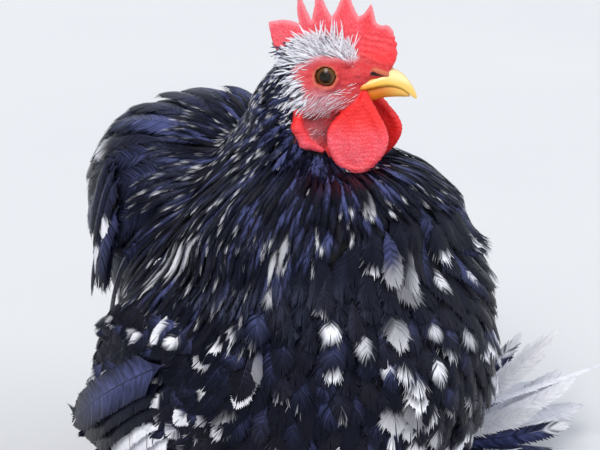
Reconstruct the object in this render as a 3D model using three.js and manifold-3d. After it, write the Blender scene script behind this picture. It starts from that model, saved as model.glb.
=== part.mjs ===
// A mottled Pekin (Cochin) bantam cockerel, standing, as a life-size still model.
// Millimetres, +Z up. The bird faces -Y, its left side is +X, and the floor is z = 0.
// Each solid is drawn out to the tips of the feathers, and neighbours part by a thin gap.
import * as THREE from "three";
import { mergeVertices } from "three/addons/utils/BufferGeometryUtils.js";
import Module from "manifold-3d";

const wasm = await Module();
wasm.setup();

// Driving dimensions.
const GAP = 0.3; // clearance cut between neighbouring solids
const BREAST_Y = -110; // front of the breast
const RUMP_Y = 92; // back of the trunk, under the tail
const BODY_HALF_WIDTH = 87;
const BODY_MID_Z = 104;
const BACK_Z = 180; // saddle, behind the hackle
const BELLY_Z = 16; // lowest fluff of the belly
const HEAD_AT = new THREE.Vector3(0, -28, 235); // middle of the head, just over the eyes
const HEAD_TURN = THREE.MathUtils.degToRad(35); // towards the bird's left
const TAIL_TOP_Z = 208;
const TAIL_END_Y = 134;
const LEG_X = 42; // a leg's distance from the middle
const ANKLE_Y = 10;
const TOE_RADIUS = 3.6;
const FLUFF_Z = 7; // lowest fluff of the thighs
const BOOT_Z = 2; // lowest feathers of the feet
const EYE_RADIUS = 7.2;
const EYE_AT = new THREE.Vector3(7.6, 0.4, -1.6); // left eyeball, from the middle of the head

const UP = new THREE.Vector3(0, 0, 1);
const point = (x, y, z) => new THREE.Vector3(x, y, z);

// ---- Ways of making a solid ----

// A smooth function of 0..1 through evenly spaced values.
function profile(...values) {
  const places = values.map((value, i) => new THREE.Vector2(i, value));
  const spline = new THREE.SplineCurve(places);
  return (t) => spline.getPoint(THREE.MathUtils.clamp(t, 0, 1)).y;
}

// A rounded body drawn out along a curve. Each ring of a ball is laid square to the curve at t,
// with the half sizes side(t), up(t) and down(t) there. `crown` is roughly the way up, and a
// `blunt` below 1 squares the rings off a little.
function drawnBody({ path, side, up, down = up, crown = UP, around = 20, along = 12, blunt = 1 }) {
  const ball = new THREE.SphereGeometry(1, around, along);
  const place = ball.attributes.position;
  const spot = new THREE.Vector3();
  const fuller = (share, ring) => Math.sign(share) * ring * (Math.abs(share) / ring) ** blunt;
  for (let i = 0; i < place.count; i++) {
    spot.fromBufferAttribute(place, i);
    const t = (1 - spot.y) / 2;
    const ring = Math.max(Math.hypot(spot.x, spot.z), 1e-6);
    const tangent = path.getTangent(t);
    const across = new THREE.Vector3().crossVectors(tangent, crown).normalize();
    const over = new THREE.Vector3().crossVectors(across, tangent);
    const rise = spot.z > 0 ? up(t) : down(t);
    const target = path.getPoint(t);
    target.addScaledVector(across, fuller(spot.x, ring) * side(t));
    target.addScaledVector(over, fuller(spot.z, ring) * rise);
    place.setXYZ(i, target.x, target.y, target.z);
  }
  return ball;
}

// A closed geometry as a manifold solid, its faces turned outwards.
function solid(geometry) {
  const bare = geometry.clone();
  for (const name of Object.keys(bare.attributes)) {
    if (name !== "position") bare.deleteAttribute(name);
  }
  const merged = mergeVertices(bare, 1e-3);
  const vertProperties = new Float32Array(merged.attributes.position.array);
  const triVerts = new Uint32Array(merged.index.array);
  const make = () => new wasm.Manifold(new wasm.Mesh({ numProp: 3, vertProperties, triVerts }));
  const made = make();
  if (made.volume() > 0) return made;
  for (let i = 0; i < triVerts.length; i += 3) {
    const second = triVerts[i + 1];
    triVerts[i + 1] = triVerts[i + 2];
    triVerts[i + 2] = second;
  }
  return make();
}

const union = (solids) => solids.reduce((whole, next) => whole.add(next));
const clearOf = (solids) => union(solids.map((part) => swollen(part)));
const cut = (whole, ...tools) => tools.reduce((rest, tool) => rest.subtract(tool), whole);

// The largest piece that is left after a cut.
function largest(whole) {
  return whole.decompose().reduce((a, b) => (a.volume() > b.volume() ? a : b));
}

function geometryOf(whole) {
  const { vertProperties, triVerts } = whole.getMesh();
  const geometry = new THREE.BufferGeometry();
  geometry.setAttribute("position", new THREE.BufferAttribute(vertProperties, 3));
  geometry.setIndex(new THREE.BufferAttribute(triVerts, 1));
  return geometry;
}

// The same solid swollen by `gap` along its smooth normals, as a tool that cuts clear of it.
function swollen(whole, gap = GAP) {
  const geometry = geometryOf(whole);
  geometry.computeVertexNormals();
  const [place, normal] = [geometry.attributes.position, geometry.attributes.normal];
  for (let i = 0; i < place.count; i++) {
    const x = place.getX(i) + gap * normal.getX(i);
    const y = place.getY(i) + gap * normal.getY(i);
    const z = place.getZ(i) + gap * normal.getZ(i);
    place.setXYZ(i, x, y, z);
  }
  return solid(geometry);
}

function mirrored(whole) {
  return solid(geometryOf(whole).scale(-1, 1, 1));
}

// All that lies below a height, as a wide slab to cut away.
function below(height) {
  const reach = 800;
  const depth = 100;
  return solid(new THREE.BoxGeometry(reach, reach, depth).translate(0, 0, height - depth / 2));
}

// ---- Materials ----

const finish = (color, roughness) => new THREE.MeshStandardMaterial({ color, roughness, metalness: 0 });
const plumage = () => finish(0x14141c, 0.6);
const quill = () => finish(0x1c1e2c, 0.45);
const redFlesh = () => finish(0xd42a30, 0.5);
const faceFlesh = () => finish(0xc8505a, 0.55);
const horn = () => finish(0xe8b030, 0.35);
const whiteFeather = () => finish(0xe4e4ea, 0.6);

function addPiece(name, whole, material, group) {
  const mesh = new THREE.Mesh(geometryOf(largest(whole)), material);
  mesh.name = name;
  group.add(mesh);
}

// ---- Head, in its own frame: origin at its middle, facing -Y ----

function makeEye(side) {
  const ball = new THREE.SphereGeometry(EYE_RADIUS, 10, 8).rotateZ(Math.PI / 2);
  return solid(ball.translate(side * EYE_AT.x, EYE_AT.y, EYE_AT.z));
}

// The skull and face, with the short feathers of crown, cheek and throat.
function headLumps() {
  const skull = drawnBody({
    path: new THREE.CatmullRomCurve3([point(0, 27, -9), point(0, 6, -4), point(0, -17, -5)]),
    side: profile(18, 19, 17, 13, 10),
    up: profile(17, 20, 20, 15, 8),
    down: profile(20, 19, 16, 12, 9),
    around: 14,
    along: 9,
  });
  const nape = drawnBody({
    path: new THREE.LineCurve3(point(0, 18, 2), point(0, 21, -42)),
    side: profile(16, 18, 21, 25),
    up: profile(14, 15, 17, 20),
    down: profile(15, 19, 22, 25),
    crown: point(0, -1, 0),
    around: 12,
    along: 6,
  });
  const throat = drawnBody({
    path: new THREE.LineCurve3(point(0, -6, -4), point(0, 6, -38)),
    side: profile(12, 12, 13, 15),
    up: profile(11, 11, 13),
    crown: point(0, -1, 0),
    around: 10,
    along: 6,
  });
  return [solid(skull), solid(nape), solid(throat)];
}

// Upright single comb: a low shoulder over the beak, four tall points, then a blade that
// stands off behind the skull.
const COMB_POINTS = [
  // [forward, height] of each point's tip and of the notch behind it
  { tip: [17, 29.5], notch: [11.6, 23.3] },
  { tip: [5, 38.5], notch: [-0.6, 22.8] },
  { tip: [-6.8, 37.8], notch: [-9.6, 20.7] },
  { tip: [-15.8, 36], notch: [-16, 19] },
];
const COMB_FRONT = [25.4, -1.5];
const COMB_BLADE_TIP = [-29.8, 18.8];
const COMB_HEEL = [-23, 2.4];
const COMB_ROOT_HALF = 4.2; // half thickness at the skull
const COMB_EDGE_HALF = 1.1; // half thickness at the points

function combOutline() {
  const outline = new THREE.Shape();
  outline.moveTo(...COMB_FRONT);
  outline.quadraticCurveTo(30.4, 2, 28.8, 9);
  outline.quadraticCurveTo(27.5, 17, 24.4, 20.2);
  outline.quadraticCurveTo(21.5, 19.6, 19.6, 21);
  for (const { tip, notch } of COMB_POINTS) {
    const lean = (tip[0] + notch[0]) / 2;
    outline.quadraticCurveTo(tip[0] + 1.6, tip[1] - 6, tip[0], tip[1]);
    outline.quadraticCurveTo(lean, (tip[1] + notch[1]) / 2 - 1, notch[0], notch[1]);
  }
  outline.quadraticCurveTo(-22, 19.5, ...COMB_BLADE_TIP);
  outline.quadraticCurveTo(-28.5, 8, ...COMB_HEEL);
  outline.quadraticCurveTo(-14, 8, -6, 8);
  outline.quadraticCurveTo(8, 8, 14, 3);
  outline.quadraticCurveTo(19, -1, ...COMB_FRONT);
  return outline;
}

function makeComb() {
  const half = COMB_ROOT_HALF;
  const blade = new THREE.ExtrudeGeometry(combOutline(), {
    depth: 2 * half,
    steps: 1,
    bevelEnabled: false,
    curveSegments: 3,
  });
  // Outline x is forward and y is height; the extrusion's depth is the thickness.
  const place = blade.attributes.position;
  for (let i = 0; i < place.count; i++) {
    const [forward, height] = [place.getX(i), place.getY(i)];
    const share = (place.getZ(i) - half) / half;
    const rise = THREE.MathUtils.smoothstep(height, 2, 30);
    const thick = THREE.MathUtils.lerp(half, COMB_EDGE_HALF, rise);
    const sway = 0.8 * Math.sin(forward * 0.22);
    place.setXYZ(i, share * thick + sway * rise, -forward, height);
  }
  return solid(blade);
}

function makeBeakUpper() {
  return solid(
    drawnBody({
      path: new THREE.QuadraticBezierCurve3(point(0, -6, -4.4), point(0, -35, -1.4), point(0, -38.8, -12)),
      side: profile(8.6, 8, 6.4, 4.4, 1.8),
      up: profile(4.4, 4.6, 4.2, 3.2, 2),
      down: profile(4, 4.2, 3.6, 2.8, 2),
      around: 10,
      along: 9,
    }),
  );
}

function makeBeakLower() {
  return solid(
    drawnBody({
      path: new THREE.QuadraticBezierCurve3(
        point(0, -5, -10.6),
        point(0, -24, -11.4),
        point(0, -34.6, -10.6),
      ),
      side: profile(8, 7.2, 5.4, 3.4, 1.8),
      up: profile(4, 3.8, 3, 2),
      down: profile(5.2, 4.8, 3.4, 2),
      around: 10,
      along: 7,
    }),
  );
}

// A wattle hangs from the corner of the lower jaw: a flat rounded leaf, full at its foot.
function makeWattle() {
  return solid(
    drawnBody({
      path: new THREE.QuadraticBezierCurve3(
        point(7, -17, -9),
        point(12, -15, -30),
        point(12.5, -14.5, -46.5),
      ),
      side: profile(2.2, 2.6, 3.2, 3.2, 2.6),
      up: profile(7, 10.5, 13.6, 13.8, 10),
      down: profile(6, 11, 13.4, 13.4, 10),
      crown: point(0, -1, 0),
      around: 12,
      along: 9,
    }),
  );
}

function makeEarlobe() {
  return solid(
    drawnBody({
      path: new THREE.QuadraticBezierCurve3(point(15.5, 13, -11), point(20, 12.5, -24), point(17, 10, -36.5)),
      side: profile(2.2, 2.6, 2.4),
      up: profile(4.4, 5, 4.4),
      crown: point(0, -1, 0),
      around: 8,
      along: 6,
    }),
  );
}

// ---- Body ----

// The mane of narrow feathers that falls from the nape over breast, shoulders and back.
function makeNeck() {
  return solid(
    drawnBody({
      path: new THREE.CatmullRomCurve3([
        point(0, -5, 226),
        point(0, -6, 192),
        point(0, -12, 160),
        point(0, -16, 112),
      ]),
      side: profile(32, 34, 47, 72, 91, 80),
      up: profile(29, 31, 46, 74, 93, 84),
      down: profile(33, 35, 44, 60, 82, 76),
      crown: point(0, -1, 0),
      around: 18,
      along: 10,
    }),
  );
}

function makeTrunk() {
  const middle = (BREAST_Y + RUMP_Y) / 2;
  return solid(
    drawnBody({
      path: new THREE.CatmullRomCurve3([
        point(0, BREAST_Y, BODY_MID_Z + 4),
        point(0, -60, BODY_MID_Z + 1),
        point(0, middle, BODY_MID_Z),
        point(0, 45, BODY_MID_Z + 2),
        point(0, RUMP_Y, BODY_MID_Z + 6),
      ]),
      side: profile(86, BODY_HALF_WIDTH, BODY_HALF_WIDTH, 84, 78),
      up: profile(78, 79, BACK_Z - BODY_MID_Z, 80, 80),
      down: profile(92, 90, BODY_MID_Z - BELLY_Z, 84, 78),
      around: 26,
      along: 14,
      blunt: 0.82,
    }),
  );
}

// One soft feather or tuft of them, tapered, thick enough to stand as a solid.
function featherLobe(from, through, to, width, thickness, crown = UP) {
  return solid(
    drawnBody({
      path: new THREE.QuadraticBezierCurve3(from, through, to),
      side: profile(0.6 * width, 0.9 * width, width, 0.9 * width, 0.5 * width),
      up: () => thickness,
      crown,
      around: 5,
      along: 5,
    }),
  );
}

// The round cushion of saddle feathers with short sickles curving over and down.
function makeTail() {
  const cushion = drawnBody({
    path: new THREE.CatmullRomCurve3([point(0, 8, 134), point(0, 70, 148), point(0, TAIL_END_Y - 6, 132)]),
    side: profile(70, 70, 64, 54, 40),
    up: profile(50, 56, TAIL_TOP_Z - 149, 52, 40),
    down: profile(50, 56, 60, 56, 42),
    around: 20,
    along: 12,
    blunt: 0.84,
  });
  const sickles = [];
  const count = 5;
  for (let i = 0; i < count; i++) {
    const spread = (2 * i) / (count - 1) - 1;
    const lean = Math.cos(spread * 1.2);
    sickles.push(
      featherLobe(
        point(14 * spread, 70, 176),
        point(26 * spread, 116, 156 + 62 * lean),
        point(17 * spread, TAIL_END_Y + 1.4 - 15 * spread * spread, 98 + 20 * lean),
        16,
        6,
      ),
    );
  }
  return union([solid(cushion), ...sickles]);
}

// A folded wing: a shallow leaf against the flank, its flight feathers drooping to the rear.
function wingLumps() {
  const outward = point(1, 0, 0);
  const blade = drawnBody({
    path: new THREE.QuadraticBezierCurve3(point(72, -56, 132), point(91, 0, 114), point(76, 58, 62)),
    side: profile(24, 33, 36, 31, 20),
    up: profile(7, 8, 8, 7, 5),
    crown: outward,
    around: 12,
    along: 9,
  });
  const quills = [];
  const count = 3;
  for (let i = 0; i < count; i++) {
    const fall = i / (count - 1);
    quills.push(
      featherLobe(
        point(80, 24 - 8 * fall, 96 - 16 * fall),
        point(84, 46 - 14 * fall, 72 - 12 * fall),
        point(77, 72 - 20 * fall, 52 - 18 * fall),
        10,
        2.4,
        outward,
      ),
    );
  }
  return [solid(blade), ...quills];
}

// The fluffy thigh, full down to the hock.
function makeThigh() {
  return solid(
    drawnBody({
      path: new THREE.LineCurve3(point(44, 0, 84), point(40, 16, 14)),
      side: profile(34, 38, 37, 32),
      up: profile(38, 43, 42, 36),
      crown: point(0, -1, 0),
      around: 14,
      along: 8,
    }),
  );
}

const TOES = [
  // [turn from straight ahead in degrees, length]
  [-26, 30],
  [2, 37],
  [32, 32],
  [172, 15],
];
const CLAW_LENGTH = 9;

function toeEnds(turn, length) {
  const angle = THREE.MathUtils.degToRad(turn);
  const ahead = point(Math.sin(angle), -Math.cos(angle), 0);
  const ankle = point(LEG_X, ANKLE_Y, TOE_RADIUS);
  return { ankle, ahead, tip: ankle.clone().addScaledVector(ahead, length) };
}

// The scaly shank with its four toes, flat underneath where it stands.
function makeFoot() {
  const crown = point(1, 0, 0);
  const limb = (path, width) =>
    solid(drawnBody({ path, side: () => width, up: () => width, crown, around: 7, along: 4 }));
  const shank = limb(new THREE.LineCurve3(point(LEG_X, ANKLE_Y + 2, 26), point(LEG_X, ANKLE_Y - 1, -4)), 5.4);
  const toes = TOES.map(([turn, length]) => {
    const { ankle, ahead, tip } = toeEnds(turn, length);
    const start = ankle.clone().addScaledVector(ahead, -5);
    return limb(new THREE.LineCurve3(start.setZ(TOE_RADIUS - 0.8), tip.setZ(TOE_RADIUS - 0.8)), TOE_RADIUS);
  });
  return cut(union([shank, ...toes]), below(0));
}

function makeClaw([turn, length]) {
  const { ahead, tip } = toeEnds(turn, length);
  const start = tip.clone().addScaledVector(ahead, -2).setZ(3.2);
  const middle = tip.clone().addScaledVector(ahead, CLAW_LENGTH / 2).setZ(4.4);
  const end = tip.clone().addScaledVector(ahead, CLAW_LENGTH).setZ(1);
  return solid(
    drawnBody({
      path: new THREE.QuadraticBezierCurve3(start, middle, end),
      side: profile(1.9, 1.6, 0.8),
      up: profile(2, 1.6, 0.8),
      around: 6,
      along: 4,
    }),
  );
}

// Stiff feathers that grow from the outer side of shank and toes and curve out and up.
const FOOT_VANES = [
  // [x, y, z] of each feather's tip, from the rear one round to the front one
  [132, 26, 34],
  [152, -14, 46],
  [150, -44, 74],
  [168, -56, 54],
  [128, -56, 86],
  [112, -72, 40],
];

function makeFootFeathers() {
  const boot = drawnBody({
    path: new THREE.QuadraticBezierCurve3(point(50, 6, 40), point(60, -6, 28), point(64, -24, 8)),
    side: profile(17, 21, 17),
    up: profile(15, 17, 10),
    around: 10,
    along: 6,
  });
  const root = point(62, -10, 24);
  const vanes = FOOT_VANES.map(([x, y, z]) => {
    const tip = point(x, y, z);
    const through = root.clone().lerp(tip, 0.55).setZ(root.z + 0.25 * (z - root.z));
    return featherLobe(root, through, tip, 10, 1.8);
  });
  return cut(union([solid(boot), ...vanes]), below(BOOT_Z));
}

// ---- Assembly ----

const chicken = new THREE.Group();
const standing = new THREE.Group();
const head = new THREE.Group();
head.position.copy(HEAD_AT);
head.rotation.z = HEAD_TURN;
chicken.add(standing);
standing.add(head);
head.updateMatrix();
const onBody = (whole) => solid(geometryOf(whole).applyMatrix4(head.matrix));

const eyeLeft = makeEye(1);
const eyeRight = makeEye(-1);
const beakUpper = makeBeakUpper();
const beakLower = cut(makeBeakLower(), swollen(beakUpper));
const comb = cut(makeComb(), swollen(beakUpper));
const wattleLeft = cut(makeWattle(), swollen(beakLower), swollen(beakUpper));
const earlobeLeft = makeEarlobe();
const wattleRight = mirrored(wattleLeft);
const earlobeRight = mirrored(earlobeLeft);
const faceParts = [comb, beakUpper, makeBeakLower(), wattleLeft, wattleRight, earlobeLeft, earlobeRight];
const headFlesh = cut(union(headLumps()), clearOf([eyeLeft, eyeRight, ...faceParts]));

addPiece("head", headFlesh, faceFlesh(), head);
addPiece("comb", comb, redFlesh(), head);
addPiece("eye_L", eyeLeft, finish(0x3a2a12, 0.08), head);
addPiece("eye_R", eyeRight, finish(0x3a2a12, 0.08), head);
addPiece("beak_upper", beakUpper, horn(), head);
addPiece("beak_lower", beakLower, horn(), head);
addPiece("wattle_L", wattleLeft, redFlesh(), head);
addPiece("wattle_R", wattleRight, redFlesh(), head);
addPiece("earlobe_L", earlobeLeft, redFlesh(), head);
addPiece("earlobe_R", earlobeRight, redFlesh(), head);

const clearOfHead = clearOf([...headLumps(), ...faceParts].map(onBody));
const neck = cut(makeNeck(), clearOfHead);
const clearOfNeck = clearOf([makeNeck()]);
const wingLeft = largest(cut(union(wingLumps()), clearOfNeck));
const clearOfWings = clearOf([...wingLumps(), ...wingLumps().map(mirrored)]);
const trunk = cut(makeTrunk(), clearOfNeck, clearOfWings);
const clearOfTrunk = clearOf([makeTrunk()]);
const tail = cut(makeTail(), clearOfTrunk, clearOfNeck, clearOfWings);
const footLeft = makeFoot();
const clearOfFoot = clearOf([footLeft]);
const claws = TOES.map((toe) => cut(makeClaw(toe), clearOfFoot));
const thighLeft = cut(makeThigh(), clearOfTrunk, clearOfWings, clearOfFoot, below(FLUFF_Z));
const bootLeft = cut(makeFootFeathers(), clearOfTrunk, clearOf([makeThigh()]), clearOfFoot, clearOfWings);

addPiece("neck", neck, plumage(), standing);
addPiece("trunk", trunk, plumage(), standing);
addPiece("tail", tail, plumage(), standing);
addPiece("wing_L", wingLeft, quill(), standing);
addPiece("wing_R", mirrored(wingLeft), quill(), standing);
addPiece("thigh_L", thighLeft, plumage(), standing);
addPiece("thigh_R", mirrored(largest(thighLeft)), plumage(), standing);
addPiece("foot_L", footLeft, finish(0xd8b45a, 0.5), standing);
addPiece("foot_R", mirrored(footLeft), finish(0xd8b45a, 0.5), standing);
addPiece("foot_feathers_L", bootLeft, whiteFeather(), standing);
addPiece("foot_feathers_R", mirrored(largest(bootLeft)), whiteFeather(), standing);
claws.forEach((claw, i) => {
  addPiece(`claw_L${i + 1}`, claw, horn(), standing);
  addPiece(`claw_R${i + 1}`, mirrored(claw), horn(), standing);
});

// The origin lies on the floor under the middle of the whole bird.
standing.updateMatrixWorld(true);
const reach = new THREE.Box3().setFromObject(standing, true).getCenter(new THREE.Vector3());
standing.position.set(-reach.x, -reach.y, 0);

export default chicken;
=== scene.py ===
import math
from collections import namedtuple

import bpy
import numpy as np
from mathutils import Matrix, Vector
from mathutils.bvhtree import BVHTree


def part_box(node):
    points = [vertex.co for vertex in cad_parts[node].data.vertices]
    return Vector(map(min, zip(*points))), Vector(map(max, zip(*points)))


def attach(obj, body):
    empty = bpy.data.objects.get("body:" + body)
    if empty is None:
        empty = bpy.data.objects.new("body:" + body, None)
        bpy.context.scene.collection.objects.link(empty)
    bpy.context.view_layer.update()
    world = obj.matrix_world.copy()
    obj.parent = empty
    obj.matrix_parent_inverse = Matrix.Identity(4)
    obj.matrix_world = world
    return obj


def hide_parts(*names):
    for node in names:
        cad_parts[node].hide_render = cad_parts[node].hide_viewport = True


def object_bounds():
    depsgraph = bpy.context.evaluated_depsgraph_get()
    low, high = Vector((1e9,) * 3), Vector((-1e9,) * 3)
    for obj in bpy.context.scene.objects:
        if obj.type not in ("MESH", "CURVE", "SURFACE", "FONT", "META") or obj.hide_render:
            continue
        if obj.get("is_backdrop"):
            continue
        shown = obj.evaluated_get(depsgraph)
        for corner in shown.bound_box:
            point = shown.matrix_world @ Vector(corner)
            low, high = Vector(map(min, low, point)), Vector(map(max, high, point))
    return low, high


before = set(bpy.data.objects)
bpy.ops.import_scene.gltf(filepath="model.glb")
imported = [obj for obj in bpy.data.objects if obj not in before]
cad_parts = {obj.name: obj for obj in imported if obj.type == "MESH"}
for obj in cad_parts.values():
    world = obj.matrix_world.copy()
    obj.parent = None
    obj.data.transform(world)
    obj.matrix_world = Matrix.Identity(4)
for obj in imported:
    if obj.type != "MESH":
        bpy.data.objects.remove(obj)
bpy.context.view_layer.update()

MM = 0.001
SEED = 11
SIDES = (("L", 1), ("R", -1))
BODY_NODES = ("neck", "trunk", "tail", "thigh_L", "thigh_R", "wing_L", "wing_R")
HEAD_NODES = ("head", "comb", "wattle_L", "wattle_R", "earlobe_L", "earlobe_R")
COAT_NODES = ("head",) + BODY_NODES
HEAD_REACH = 62  # all that belongs to the head lies this near its middle

# The coat's outline
SWELL = 0.4  # closes the thin gaps between the CAD solids
OUTLINE_VOXEL = 3
OUTLINE_ROUNDS = 8

# Grid steps that the skin is worked out on
HEAD_STEP, FOOT_STEP, BODY_STEP = 0.6, 0.9, 3.2


# ---- Small helpers ----


def vec(*values):
    return np.array(values, float)


def unit(v):
    return v / np.maximum(np.linalg.norm(v, axis=-1, keepdims=True), 1e-9)


def square_to(ways, axes):
    """The ways with the part that runs along unit axes taken away."""
    return ways - (ways * axes).sum(-1, keepdims=True) * axes


def smoothstep(low, high, x):
    t = np.clip((np.asarray(x, float) - low) / (high - low), 0, 1)
    return t * t * (3 - 2 * t)


def lerp(a, b, t):
    return a + (b - a) * t


def box(node):
    low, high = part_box(node)
    return np.array(low) / MM, np.array(high) / MM


def within(node, x, y, z):
    """The point at these shares of a node's box."""
    low, high = box(node)
    return low + (high - low) * vec(x, y, z)


def middle(node):
    return within(node, 0.5, 0.5, 0.5)


def value_noise(points, scale, seed):
    """Smooth noise in -1..1 at points, `scale` millimetres from crest to crest."""
    cells = np.random.default_rng(seed).uniform(-1, 1, 4096)
    p = np.asarray(points, float) / scale
    base = np.floor(p).astype(np.int64)
    f = p - base
    f = f * f * (3 - 2 * f)
    total = 0
    for corner in range(8):
        step = np.array([corner & 1, corner >> 1 & 1, corner >> 2 & 1])
        x, y, z = np.moveaxis(base + step, -1, 0)
        value = cells[(x * 73856093 ^ y * 19349663 ^ z * 83492791) & 4095]
        weight = np.prod(np.where(step, f, 1 - f), axis=-1)
        total = total + value * weight
    return total


# ---- Landmarks, from the CAD nodes ----

EYE_LEFT, EYE_RIGHT = middle("eye_L"), middle("eye_R")
LEFTWARD = unit(EYE_LEFT - EYE_RIGHT)
FORWARD = vec(LEFTWARD[1], -LEFTWARD[0], 0)
EYE_BACK, EYE_DROP = 0.4, 1.6  # the eyes lie a little behind and below the head's middle
HEAD = (EYE_LEFT + EYE_RIGHT) / 2 + EYE_BACK * FORWARD + vec(0, 0, EYE_DROP)
EYE_SIDE = np.linalg.norm(EYE_LEFT - EYE_RIGHT) / 2
EYE_RADIUS = (box("eye_L")[1][2] - box("eye_L")[0][2]) / 2
TRUNK_LOW, TRUNK_HIGH = box("trunk")


def from_head(p):
    """Head coordinates (left, forward, up) to the row frame."""
    p = np.asarray(p, float)
    return HEAD + p[..., :1] * LEFTWARD + p[..., 1:2] * FORWARD + p[..., 2:] * vec(0, 0, 1)


def to_head(p):
    d = np.asarray(p, float) - HEAD
    return np.stack([d @ LEFTWARD, d @ FORWARD, d[..., 2]], axis=-1)


def near_head(points, reach=HEAD_REACH):
    return np.linalg.norm(points - HEAD, axis=1) < reach


def from_pupil(forward, up):
    """Distance from the line through both pupils, in head coordinates."""
    return np.hypot(forward + EYE_BACK, up + EYE_DROP)


# ---- Solid shapes as distance fields on a grid ----


def ellipsoid(p, centre, radii):
    q = (p - vec(*centre)) / vec(*radii)
    k0 = np.linalg.norm(q, axis=-1)
    k1 = np.linalg.norm(q / vec(*radii), axis=-1)
    return k0 * (k0 - 1) / np.maximum(k1, 1e-6)


def limb(p, a, b, ra, rb):
    a, b = vec(*a), vec(*b)
    axis = b - a
    t = np.clip((p - a) @ axis / (axis @ axis), 0, 1)
    return np.linalg.norm(p - (a + t[..., None] * axis), axis=-1) - (ra + (rb - ra) * t)


def melt(a, b, k):
    """Union with a soft fillet of about k."""
    h = np.clip(0.5 + 0.5 * (b - a) / k, 0, 1)
    return b + (a - b) * h - k * h * (1 - h)


def carve(a, tool, k):
    return -melt(-a, tool, k)


def plate(across, edge, half, round_off):
    """A flat leaf: `edge` is the distance to its outline and `half` its half thickness."""
    dx, dy = np.abs(across) - half + round_off, edge + round_off
    inner = np.minimum(np.maximum(dx, dy), 0)
    return inner + np.hypot(np.maximum(dx, 0), np.maximum(dy, 0)) - round_off


def outline_distance(x, y, corners):
    """Signed distance to a closed outline, negative inside."""
    corners = np.asarray(corners, float)
    best = np.full(x.shape, 1e9)
    sign = np.ones(x.shape)
    for (ax, ay), (bx, by) in zip(corners, np.roll(corners, -1, axis=0)):
        ex, ey = bx - ax, by - ay
        wx, wy = x - ax, y - ay
        t = np.clip((wx * ex + wy * ey) / max(ex * ex + ey * ey, 1e-9), 0, 1)
        best = np.minimum(best, (wx - t * ex) ** 2 + (wy - t * ey) ** 2)
        crosses = (ay <= y) != (by <= y)
        side = wx * ey - wy * ex
        sign = np.where(crosses & ((side > 0) == (ey < 0)), -sign, sign)
    return sign * np.sqrt(best)


def spline(p0, p1, p2, p3, t):
    """The smooth curve from p1 to p2 that p0 and p3 lead in and out, at share t."""
    a, b, c = 2 * p0 - 5 * p1 + 4 * p2 - p3, p2 - p0, 3 * p1 - p0 - 3 * p2 + p3
    return 0.5 * (2 * p1 + b * t + a * t * t + c * t**3)


def smooth_loop(knots, steps):
    """A closed smooth curve through knots."""
    k = np.asarray(knots, float)
    around = [np.roll(k, shift, 0) for shift in (1, 0, -1, -2)]
    out = [spline(*around, t) for t in np.arange(steps) / steps]
    return np.stack(out, axis=1).reshape(-1, k.shape[1])


def curve_through(stations, steps):
    """Values at evenly spaced places along rows of stations, smoothly."""
    rows = np.asarray(stations, float)
    at = np.linspace(0, len(rows) - 1, steps)
    padded = np.concatenate([2 * rows[:1] - rows[1:2], rows, 2 * rows[-1:] - rows[-2:-1]])
    i = np.minimum(at.astype(int), len(rows) - 2)
    return spline(*(padded[i + n] for n in range(4)), (at - i)[:, None])


def bend(a, b, c, steps):
    """A bend from a towards c round the control point b, without its last point."""
    t = np.linspace(0, 1, steps, endpoint=False)[:, None]
    return (1 - t) ** 2 * vec(*a) + 2 * t * (1 - t) * vec(*b) + t * t * vec(*c)


CORNERS = np.array([[i & 1, i >> 1 & 1, i >> 2 & 1] for i in range(8)])
CUBE_EDGES = [(a, b) for a in range(8) for b in range(a + 1, 8) if bin(a ^ b).count("1") == 1]


def skin_over(field, low, step):
    """Vertices and quads of the surface where a grid of distances passes through zero."""
    inside = field < 0

    def part(grid, corner):
        """The grid's value at one corner of every cell."""
        return grid[tuple(slice(c, size - 1 + c) for c, size in zip(corner, grid.shape))]

    count = sum(part(inside, c).astype(np.int8) for c in CORNERS)
    active = (count > 0) & (count < 8)
    number = np.full(active.shape, -1)
    number[active] = np.arange(active.sum())
    value = np.stack([part(field, c)[active] for c in CORNERS], axis=1)
    total, hits = np.zeros((len(value), 3)), np.zeros(len(value))
    for a, b in CUBE_EDGES:
        crossed = (value[:, a] < 0) != (value[:, b] < 0)
        t = value[:, a] / np.where(crossed, value[:, a] - value[:, b], 1)
        spot = CORNERS[a] + t[:, None] * (CORNERS[b] - CORNERS[a])
        total += np.where(crossed[:, None], spot, 0)
        hits += crossed
    points = low + (np.argwhere(active) + total / hits[:, None]) * step
    quads = []
    for axis in range(3):
        u, v = (axis + 1) % 3, (axis + 2) % 3
        here = np.moveaxis(inside, (axis, u, v), (0, 1, 2))
        cells = np.moveaxis(number, (axis, u, v), (0, 1, 2))
        change = here[:-1, 1:-1, 1:-1] != here[1:, 1:-1, 1:-1]
        i, j, k = np.nonzero(change)
        loop = [cells[i, j, k], cells[i, j + 1, k], cells[i, j + 1, k + 1], cells[i, j, k + 1]]
        quad = np.stack(loop, axis=1)
        outward = here[:-1, 1:-1, 1:-1][change]
        quads.append(np.where(outward[:, None], quad, quad[:, ::-1]))
    return points, np.concatenate(quads)


def sculpt(low, high, step, distance):
    """Skins the shape given by distance(points), in slabs to save memory."""
    low, high = vec(*low), vec(*high)
    shape = np.ceil((high - low) / step).astype(int) + 1
    axes = [low[i] + step * np.arange(shape[i]) for i in range(3)]
    field = np.empty(shape, np.float32)
    slab = max(1, 400_000 // (shape[1] * shape[2]))
    for i in range(0, shape[0], slab):
        mesh = np.meshgrid(axes[0][i : i + slab], axes[1], axes[2], indexing="ij")
        field[i : i + slab] = distance(np.stack(mesh, axis=-1))
    return skin_over(field, low, step)


# ---- Meshes ----


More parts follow.
